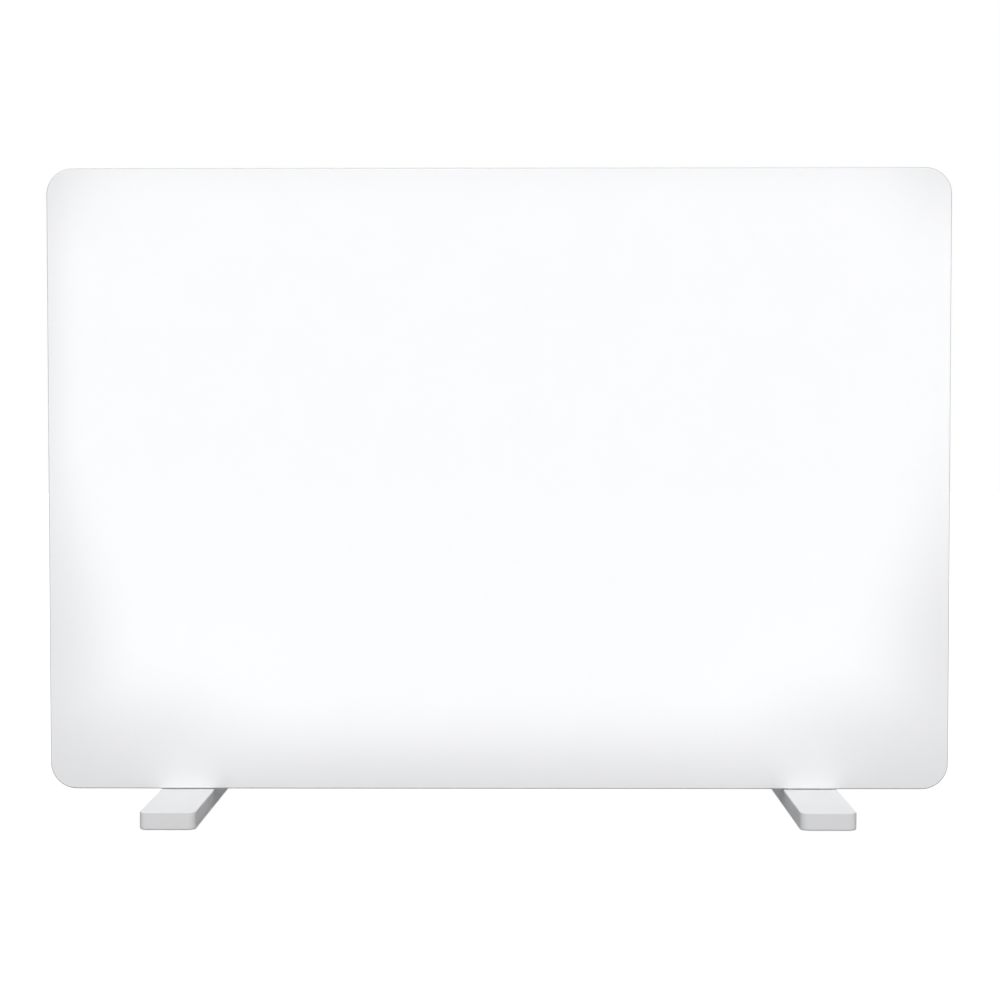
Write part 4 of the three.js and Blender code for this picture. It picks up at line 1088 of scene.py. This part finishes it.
@dataclass
class ControlUnit:
    """The casing on the rear glass, what shows on its outside, and the parts inside it.

    The wells are the radii of a screw's wide and narrow hole, bite is how deep a cutting shape starts, and
    gap is the play round the keys and the window.
    """

    left: float = 307.3
    right: float = 387.0
    low: float = 120.5
    high: float = 358.5
    front: float = 6.3
    rear: float = 34.3
    wall: float = 2.0
    corner: float = 9.0
    fillet: float = 3.0
    mid_y: float = 20.3
    post_x: Pair = (316.8, 377.5)
    post_z: Pair = (130.0, 349.0)
    screw_seat: float = 31.6
    pillar: float = 4.4
    wells: Pair = (3.2, 1.7)
    bite: float = 3.0
    slot_size: Pair = (44.0, 2.4)
    slot_pitch: float = 6.0
    slot_rows: Pair = (248.5, 292.5)
    slot_count: int = 7
    gland_x: float = 334.3
    probe_x: float = 365.0
    key_heights: tuple[float, ...] = (235.5, 253.5, 271.5, 289.5)
    key_radius: float = 4.5
    gap: float = 0.3
    lens_z: float = 318.5
    lens_size: Pair = (13.0, 30.0)
    rocker_z: float = 152.5

    @property
    def middle(self) -> Pair:
        """The casing's middle along X and Z."""
        return (self.left + self.right) / 2, (self.low + self.high) / 2

    @property
    def posts(self) -> list[Pair]:
        """Where the cover's screws stand, along X and Z."""
        return [(x, z) for z in self.post_z for x in self.post_x]

    def cover(self) -> None:
        """Make the cover: a round-edged shell with screw pillars, vent slots and holes for the fittings."""
        x, z = self.middle
        width, height = self.right - self.left, self.high - self.low
        levels = round_edges(self.front, self.rear, 0.3, self.fillet, 10)
        outside = raised(oblong(width, height, self.corner, 14), levels)
        made = new_mesh("cover", outside.rearward().at(x, 0, z))
        inside = oblong(width - 2 * self.wall, height - 2 * self.wall, self.corner - self.wall, 10)
        hollow = raised(inside, round_edges(self.front - 1, self.rear - self.wall, 0.02, 1.5, 5))
        work(made, Join.TAKE, hollow.rearward().at(x, 0, z))
        levels = round_edges(self.rear - 5, self.rear - 1, 0.3, 0.05, 3)
        pillar = raised(circle(self.pillar, 48), levels).rearward()
        work(made, Join.ADD, *(pillar.at(x, 0, z) for x, z in self.posts))
        work(made, Join.TAKE, *self.rear_holes(), *self.side_holes(), *self.floor_holes())
        Piece("rear_cover", ("control_cover",), "white_plastic").finish(made, WHITE_PLASTIC)

    def rear_holes(self) -> list[Shape]:
        """Make what cuts the casing's rear: a stepped well at each screw, and two stacks of slots.

        Returns:
            The cutting shapes.
        """
        (grow, fade), start, flare, (wide, narrow) = quarter(4), self.rear - self.bite, 0.35, self.wells
        edge = np.stack([wide + flare * grow, self.rear - flare * fade], 1)
        section = np.vstack([[[0.05, start - 4], [narrow, start - 4], [narrow, start], [wide, start]], edge,
                             [[wide + flare, self.rear + 1], [0.05, self.rear + 1]]])
        well = turned(section, 48).rearward()
        slot = raised(oblong(*self.slot_size, 1.15, 6), flared(start, self.rear, 0.4)).rearward()
        heights = [row + i * self.slot_pitch for row in self.slot_rows for i in range(self.slot_count)]
        return [well.at(x, 0, z) for x, z in self.posts] + [slot.at(self.middle[0], 0, z) for z in heights]

    def side_holes(self) -> list[Shape]:
        """Make what cuts the casing's side: four round shapes, one for the window, one for the switch.

        Returns:
            The cutting shapes.
        """
        start, end = self.right - self.bite, self.right
        key = rod(self.key_radius + self.gap, start, end, 0.3, 48)
        width, height = (size + 2 * self.gap for size in self.lens_size)
        lens = raised(oblong(width, height, 2.3, 6), flared(start, end, 0.3))
        rocker = raised(oblong(13.0, 19.2, 0.3, 2), [(start, 0.0), (end + 1, 0.0)])
        places = [*((key, z) for z in self.key_heights), (lens, self.lens_z), (rocker, self.rocker_z)]
        return [shape.sideways().at(0, self.mid_y, z) for shape, z in places]

    def floor_holes(self) -> list[Shape]:
        """Make what cuts the casing's floor, for the cord gland and the probe.

        Returns:
            The cutting shapes.
        """
        bars = ((self.gland_x, circle(6.3, 56)), (self.probe_x, circle(2.8, 40)))
        levels = mirrored(flared(-self.bite, 0.0, 0.3))
        return [raised(bar, levels).at(x, self.mid_y, self.low) for x, bar in bars]

    def cover_screws(self) -> None:
        """Make the four screws of the cover."""
        names = [f"{level}_{side}" for level in ("lower", "upper") for side in ("left", "right")]
        for name, (x, z) in zip(names, self.posts):
            made = new_mesh("screw", COVER_SCREW.shape().rearward().at(x, self.screw_seat, z))
            Piece(f"{name}_cover_screw", (f"cover_screw_{name}",), "zinc_plate").finish(made, ZINC)

    def gland(self) -> None:
        """Make the cord gland: a turned piece with grip rings on its sleeve and a thread on its barrel.

        The rings take 0.35 (1 + cos(2 pi h / 1.85)) / 2 off the sleeve, the thread 0.2 (1 + cos(2 pi h)) / 2.
        """
        low, base = self.low - 12.3, self.low
        grips, turns = np.linspace(low + 0.8, low + 8.2, 38), np.linspace(base + 0.4, base + 8.4, 60)
        widths = 5.5 + 1.5 * (grips - low) / 9.0 - 0.35 * (1 + np.cos(grips * 2 * np.pi / 1.85)) / 2
        sleeve = np.stack([widths, grips], 1)
        barrel = np.stack([6.0 - 0.2 * (1 + np.cos(turns * 2 * np.pi)) / 2, turns], 1)
        flange = line_of([(7.0, low + 8.6), (7.0, low + 9), (9.0, low + 9), (9.0, low + 12), (6.0, low + 12),
                          (6.0, low + 12.5)], 0.4)
        section = np.vstack([[[4.0, low + 0.3], [4.3, low], [5.2, low], [5.5, low + 0.4]], sleeve, flange,
                             barrel, [[5.7, base + 9], [4.2, base + 9], [4.0, base + 8.8]]])
        made = new_mesh("gland", turned(section, 72, joined=True).at(self.gland_x, self.mid_y, 0))
        Piece("gland_body", ("cord_gland",), "white_plastic").finish(made, WHITE_PLASTIC)

    def probe(self) -> None:
        """Make the room probe: a turned stub with a round nose below the casing and a flange on its floor."""
        corners = [(0.2, -4.5), (1.75, -4.5), (2.5, -3.0), (2.5, 2.3), (4.0, 2.3), (4.0, 3.5), (2.5, 3.5),
                   (2.5, 7.5), (0.2, 7.5)]
        section = line_of([(r, self.low + rise) for r, rise in corners], 0.4)
        made = new_mesh("probe", turned(section, 48).at(self.probe_x, self.mid_y, 0))
        Piece("air_probe", ("room_probe",), "white_plastic").finish(made, WHITE_PLASTIC)

    def keys(self) -> None:
        """Make the four keys: printed turned caps, hollowed by 0.28 (1 - (r / 3.4) squared)."""
        x, top = self.right, self.right + 1.2
        bowl = np.linspace(3.4, 0.2, 8)
        dish = np.stack([bowl, top - 0.28 * (1 - (bowl / 3.4) ** 2)], 1)
        outside = line_of([(0.2, x - 5.0), (1.7, x - 5.0), (1.7, x - 3.5), (6.0, x - 3.5), (6.0, x - 2.3),
                           (4.5, x - 2.3), (4.5, top), (3.4, top)], 0.4)
        shape = turned(np.vstack([outside, dish[1:]]), 64).sideways()
        reach, line = 1.7, 0.21
        ring, bar = (reach, 2 * line), (0.0, reach, line)
        marks = {"mode": {"rings": (ring, (0.0, 1.0))}, "minus": {"bars": (bar,)},
                 "plus": {"bars": (bar, (0.0, line, reach))},
                 "standby": {"rings": (ring,), "gaps": ((reach, 0.6, 1.1),), "bars": ((1.275, line, 1.0),)}}
        for (name, mark), z in zip(marks.items(), self.key_heights):
            cap = GREY_PLASTIC.printed(f"{name}_key_print", (x, self.mid_y, z), **mark)
            piece = Piece(f"{name}_button", (f"key_{name}",), "grey_plastic", f"{name}_key")
            piece.finish(new_mesh("key", shape.at(0, self.mid_y, z)), cap)

    def window(self) -> None:
        """Make the display window: a lip behind the casing's side and a pane a little proud of it."""
        width, height = self.lens_size
        back, lip, x = self.right - 3.3, 1.5, self.right + 0.3
        section = line_of([(back, lip + 1.5), (back, 0.0), (back + 1.0, 0.0), (back + 1.0, lip), (x, lip),
                           (x, lip + 1.5)], 0.3)
        shape = raised(oblong(width + 2 * lip, height + 2 * lip, 3.5, 8), section).sideways()
        made = new_mesh("window", shape.at(0, self.mid_y, self.lens_z))
        Piece("display_window", ("display_lens",), "smoked_lens").finish(made, LENS)

    def housing(self) -> None:
        """Make the rocker switch's housing: a bezel and a body with a well and two blades."""
        x = self.right
        bezel = raised(oblong(15.0, 21.0, 1.5, 8), round_edges(x + 0.3, x + 2.1, 0.1, 0.7, 6))
        body = raised(oblong(12.4, 18.6, 0.6, 4), round_edges(x - 12.5, x + 1.6, 0.4, 0.02, 3))
        well = raised(oblong(9.6, 15.8, 0.5, 4), flared(x - 7.5, x + 2.1, 0.4))
        blade = raised(oblong(4.8, 0.8, 0.25, 2), round_edges(x - 17.5, x - 11.5, 0.15, 0.05, 2))
        made = new_mesh("housing", bezel.sideways())
        work(made, Join.ADD, body.sideways())
        work(made, Join.TAKE, well.sideways())
        work(made, Join.ADD, *(blade.sideways().at(0, 0, z) for z in (-5.0, 5.0)))
        place = (0, self.mid_y, self.rocker_z)
        Piece("switch_housing", ("rocker_housing",), "black_plastic", place=place).finish(made, BLACK_PLASTIC)

    def rocker(self) -> None:
        """Make the tilting key: a side outline with a hollow face, raised across Y and leaned by ten degrees.

        The face is x = top - dish (1 - (z / end) squared) between its two ends.
        """
        top, end, dish, reach, half = 6.1, 5.8, 1.0, 7.1, 4.5
        z = np.linspace(-end + 0.5, end - 0.5, 17)
        face = np.stack([top - dish * (1 - (z / end) ** 2), z], 1)
        hull = [(top - 0.16, end - 0.45), (top - 0.3, end - 0.02), (0, reach), (-3, reach / 2),
                (-3, -reach / 2), (0, -reach), (top - 0.3, -end + 0.02), (top - 0.16, -end + 0.45)]
        outline = np.vstack([face, line_of(hull, 0.5)[1:-1]])
        made = new_mesh("rocker", raised(outline, round_edges(-half, half, 0.3, 0.3, 4)).rearward())
        work(made, Join.ADD, raised(circle(1.2, 32), round_edges(-5.4, 5.4, 0.2, 0.2, 2)).rearward())
        pivot = Matrix.Translation((self.right - 2.5, self.mid_y, self.rocker_z))
        made.data.transform(pivot @ Matrix.Rotation(math.radians(10.0), 4, "Y"))
        centre = (self.right, self.mid_y, self.rocker_z + 3.6)
        key = BLACK_PLASTIC.printed("rocker_print", centre, bars=((0.0, 0.21, 1.3),), ink=(0.75, 0.75, 0.74))
        Piece("switch_rocker", ("rocker_key",), "black_plastic", "rocker").finish(made, key)

    def inner_parts(self) -> None:
        """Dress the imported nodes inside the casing, which stay as they are."""
        switches = [f"key_switch_{name}" for name in ("mode", "minus", "plus", "standby")]
        dress_nodes(GREY_PLASTIC, "control_tray", "tip_switch_contact")
        dress_nodes(WHITE_PLASTIC, "cord_gland_nut", "terminal_block")
        dress_nodes(BOARD, "main_board", "key_board")
        dress_nodes(BLACK_PLASTIC, "power_relay", "smoothing_capacitor", "tip_switch_frame", "display_module",
                    *switches)
        dress_nodes(ZINC, "radio_module", "thermal_cutout")
        dress_nodes(WINDING, "supply_choke")
        dress_nodes(SLEEVE, "element_lead_live", "element_lead_neutral")
        dress_nodes(BRASS, "tip_switch_weight")

    def build(self) -> None:
        """Make the outer pieces and dress the inner ones."""
        for part in (self.cover, self.cover_screws, self.gland, self.probe, self.keys, self.window,
                     self.housing, self.rocker, self.inner_parts):
            part()


# Camera and light


@dataclass
class Viewpoint:
    """The camera, where the photograph was taken from. Metres and radians, with a lens in millimetres."""

    place: Triple = (0.0157, -1.7877, 0.3304)
    pitch: float = 0.0342
    yaw: float = -0.0081
    roll: float = 0.0004
    lens: float = 73.70
    sensor: float = 36.0

    def build(self) -> None:
        """Make the camera and look through it."""
        data = bpy.data.cameras.new("camera")
        data.lens, data.sensor_width = self.lens, self.sensor
        made = bpy.data.objects.new("camera", data)
        bpy.context.scene.collection.objects.link(made)
        turn = Matrix.Rotation(-self.yaw, 4, "Z") @ Matrix.Rotation(math.pi / 2 - self.pitch, 4, "X")
        made.matrix_world = Matrix.Translation(self.place) @ turn @ Matrix.Rotation(-self.roll, 4, "Z")
        bpy.context.scene.camera = made
        log.info("camera at %s", self.place)


@dataclass
class Studio:
    """A pale floor, a white surround and soft lamps. Metres.

    Fields:
        ambient: how much the surround lights the object.
        floor: the floor's own lightness.
        floor_reach: half its width.
        glow: what the floor adds for the camera and mirrors, so that it runs into the white surround.
        key: strength and direction of the wide lamp from above and in front.
        back: the same for the one from above and behind.
        wide: how many degrees across these two are.
        spread: how many degrees the light of the other lamps spreads.
        sides: strength of the beam from each side, with the place of the right one, behind the panel.
        wash: strength of the soft-edged lamp straight in front of the panel.
        panel: half the panel's width, its lower edge and its upper edge.
        edges: from either of these edges, where the wash lamp's fade begins and where it is full.
        top: the light that is left at the upper one.
        rims: side of the wash lamp, least and most depth and width of its fade, and where it starts.
        rim_foot: the height where those fades are full.
        flags: middle, reach and depth of the patches that are dimmed on each side.
    """

    ambient: float = 0.18
    floor: float = 0.22
    floor_reach: float = 9.0
    glow: float = 0.91
    key: tuple[float, Triple] = (2.52, (0.0, 0.72, -0.69))
    back: tuple[float, Triple] = (1.6, (0.0, -0.8, -0.6))
    wide: float = 20.0
    spread: float = 2.0
    sides: float = 1.1
    sides_size: Pair = (0.14, 0.56)
    sides_place: Triple = (1.0, 0.093, 0.28)
    wash: float = 1.02
    wash_size: Pair = (0.90, 0.70)
    wash_place: Triple = (0.0, -1.0, 0.30)
    panel: Triple = (0.3925, 0.0165, 0.5575)
    edges: tuple[Pair, Pair] = ((-0.026, 0.0845), (0.03, -0.022))
    top: float = 0.55
    rims: tuple[tuple[float, Pair, Pair, float], ...] = ((-1.0, (0.41, 0.72), (0.028, 0.088), 0.33),
                                                         (1.0, (0.0, 0.66), (0.025, 0.092), 0.36))
    rim_foot: float = 0.125
    flags: tuple[tuple[Pair, Pair, float], ...] = (((0.3925, 0.5575), (0.085, 0.085), 0.36),
                                                   ((0.3, 0.055), (0.12, 0.085), 0.55),
                                                   ((0.2725, 0.01), (0.06, 0.055), 0.9))

    def surround(self) -> None:
        """Make the world: white for the camera, mirrors and glass, and a plain level for the rest."""
        world = bpy.data.worlds.new("surround")
        world.use_nodes = True
        sky = Nodes(world.node_tree)
        plain, white = (sky.add("Background", {"Color": (1.0, 1.0, 1.0), "Strength": level}).outputs[0]
                        for level in (self.ambient, 1.0))
        sky.add("OutputWorld", {0: sky.add("MixShader", {0: sky.seen(), 1: plain, 2: white}).outputs[0]})
        bpy.context.scene.world = world

    def ground(self) -> None:
        """Make the floor: a wide plain sheet that keeps the object's shadow."""
        corners = self.floor_reach * np.array([(-1, -1, 0), (1, -1, 0), (1, 1, 0), (-1, 1, 0)])
        made = new_mesh("floor", Shape(corners, [[0, 1, 2, 3]]))
        bench = Bench("pale_floor")
        tone = bench.mixed(bench.noise(400.0), (self.floor,) * 3, (self.floor * 1.02,) * 3)
        bench.fill(bench.shader, {"Base Color": tone, "Roughness": 0.9, "Specular IOR Level": 0.0,
                                  "Emission Color": (1.0, 1.0, 1.0),
                                  "Emission Strength": bench.maths("MULTIPLY", bench.seen(), self.glow)})
        made.data.materials.append(bench.material)

    def lamp(self, name: str, kind: str, strength: float, toward: Triple) -> bpy.types.Object:
        """Make a lamp that doesn't show in mirrors.

        Args:
            name: its name.
            kind: SUN or AREA.
            strength: its strength.
            toward: the direction that its light travels.

        Returns:
            The lamp's object.
        """
        data = bpy.data.lights.new(name, kind)
        data.energy = strength
        made = bpy.data.objects.new(name, data)
        bpy.context.scene.collection.objects.link(made)
        made.rotation_mode = "QUATERNION"
        made.rotation_quaternion = Vector(toward).to_track_quat("-Z", "Y")
        made.visible_glossy = made.visible_camera = False
        return made

    def beam(self, name: str, strength: float, size: Pair, place: Triple, toward: Triple) -> bpy.types.Light:
        """Make an upright soft lamp whose light runs straight ahead.

        Args:
            name: its name.
            strength: how strongly it lights what it meets, in watts on a square metre.
            size: its width and height.
            place: its middle.
            toward: the direction that its light travels.

        Returns:
            The lamp's data.
        """
        made = self.lamp(name, "AREA", strength * size[0] * size[1], toward)
        made.location = place
        made.data.shape, made.data.size, made.data.size_y = "RECTANGLE", *size
        made.data.spread = math.radians(self.spread)
        return made.data

    def wash_lamp(self) -> None:
        """Make the lamp that washes the front glass, even in the middle and fading at the rim.

        A place on its face stands opposite the same place on the panel. Its light is the product of fades: a
        smooth step of the distance from each edge, wider and deeper downwards at the sides, and for each flag
        a smooth step of the length of (offset / reach).
        """
        data = self.beam("panel_wash", self.wash, self.wash_size, self.wash_place, (0.0, 1.0, 0.0))
        data.use_nodes = True
        face = Nodes(data.node_tree)
        spot = face.vector("SUBTRACT", face.add("NewGeometry").outputs["Parametric"], (0.5, 0.5, 0.0))
        spot = face.vector("MULTIPLY", spot, (*self.wash_size, 0.0))
        spot = face.vector("ADD", spot, (self.wash_place[0], self.wash_place[2], 0.0))
        x, z = face.add("SeparateXYZ", {0: spot}).outputs[:2]
        half, low, high = self.panel
        lower, upper = ([edge + way for way in ways] for edge, ways in zip((low, high), self.edges))
        fades = [face.step(z, *lower), face.step(z, *upper, self.top, 1.0)]
        for side, depths, widths, start in self.rims:
            depth, reach = (face.step(z, start, self.rim_foot, *ends) for ends in (depths, widths))
            away = face.maths("DIVIDE", face.maths("SUBTRACT", half, face.maths("MULTIPLY", x, side)), reach)
            shade = face.maths("MULTIPLY", depth, face.step(away, 1.0, -0.1))
            fades.append(face.maths("SUBTRACT", 1.0, shade))
            for place, reaches, share in self.flags:
                offset = face.vector("SUBTRACT", spot, (side * place[0], place[1], 0.0))
                away = face.vector("LENGTH", face.vector("DIVIDE", offset, (*reaches, 1.0)), output="Value")
                fades.append(face.step(away, 1.0, 0.0, 1.0, 1.0 - share))
        light = fades[0]
        for fade in fades[1:]:
            light = face.maths("MULTIPLY", light, fade)
        face.add("OutputLight", {0: face.add("Emission", {"Strength": light}).outputs[0]})

    def build(self) -> None:
        """Make the surround, the floor and the lamps."""
        self.surround()
        self.ground()
        for name, (strength, toward) in (("wide_key", self.key), ("wide_back", self.back)):
            self.lamp(name, "SUN", strength, toward).data.angle = math.radians(self.wide)
        for side in Side:
            x, y, z = self.sides_place
            place, toward = (side.value * x, y, z), (-side.value, 0.0, 0.0)
            self.beam(f"{side.name.lower()}_side", self.sides, self.sides_size, place, toward)
        self.wash_lamp()
        bpy.context.scene.view_settings.view_transform = "Standard"
        log.info("studio: floor, surround and five lamps")


def main() -> None:
    """Build the camera, the studio and the heater's sub-assemblies in order."""
    logging.basicConfig(level=logging.INFO, format="%(message)s")
    Viewpoint().build()
    Studio().build()
    GlassPanel().build()
    for side in Side:
        Support(side).build()
    ControlUnit().build()


if __name__ == "__main__":
    main()
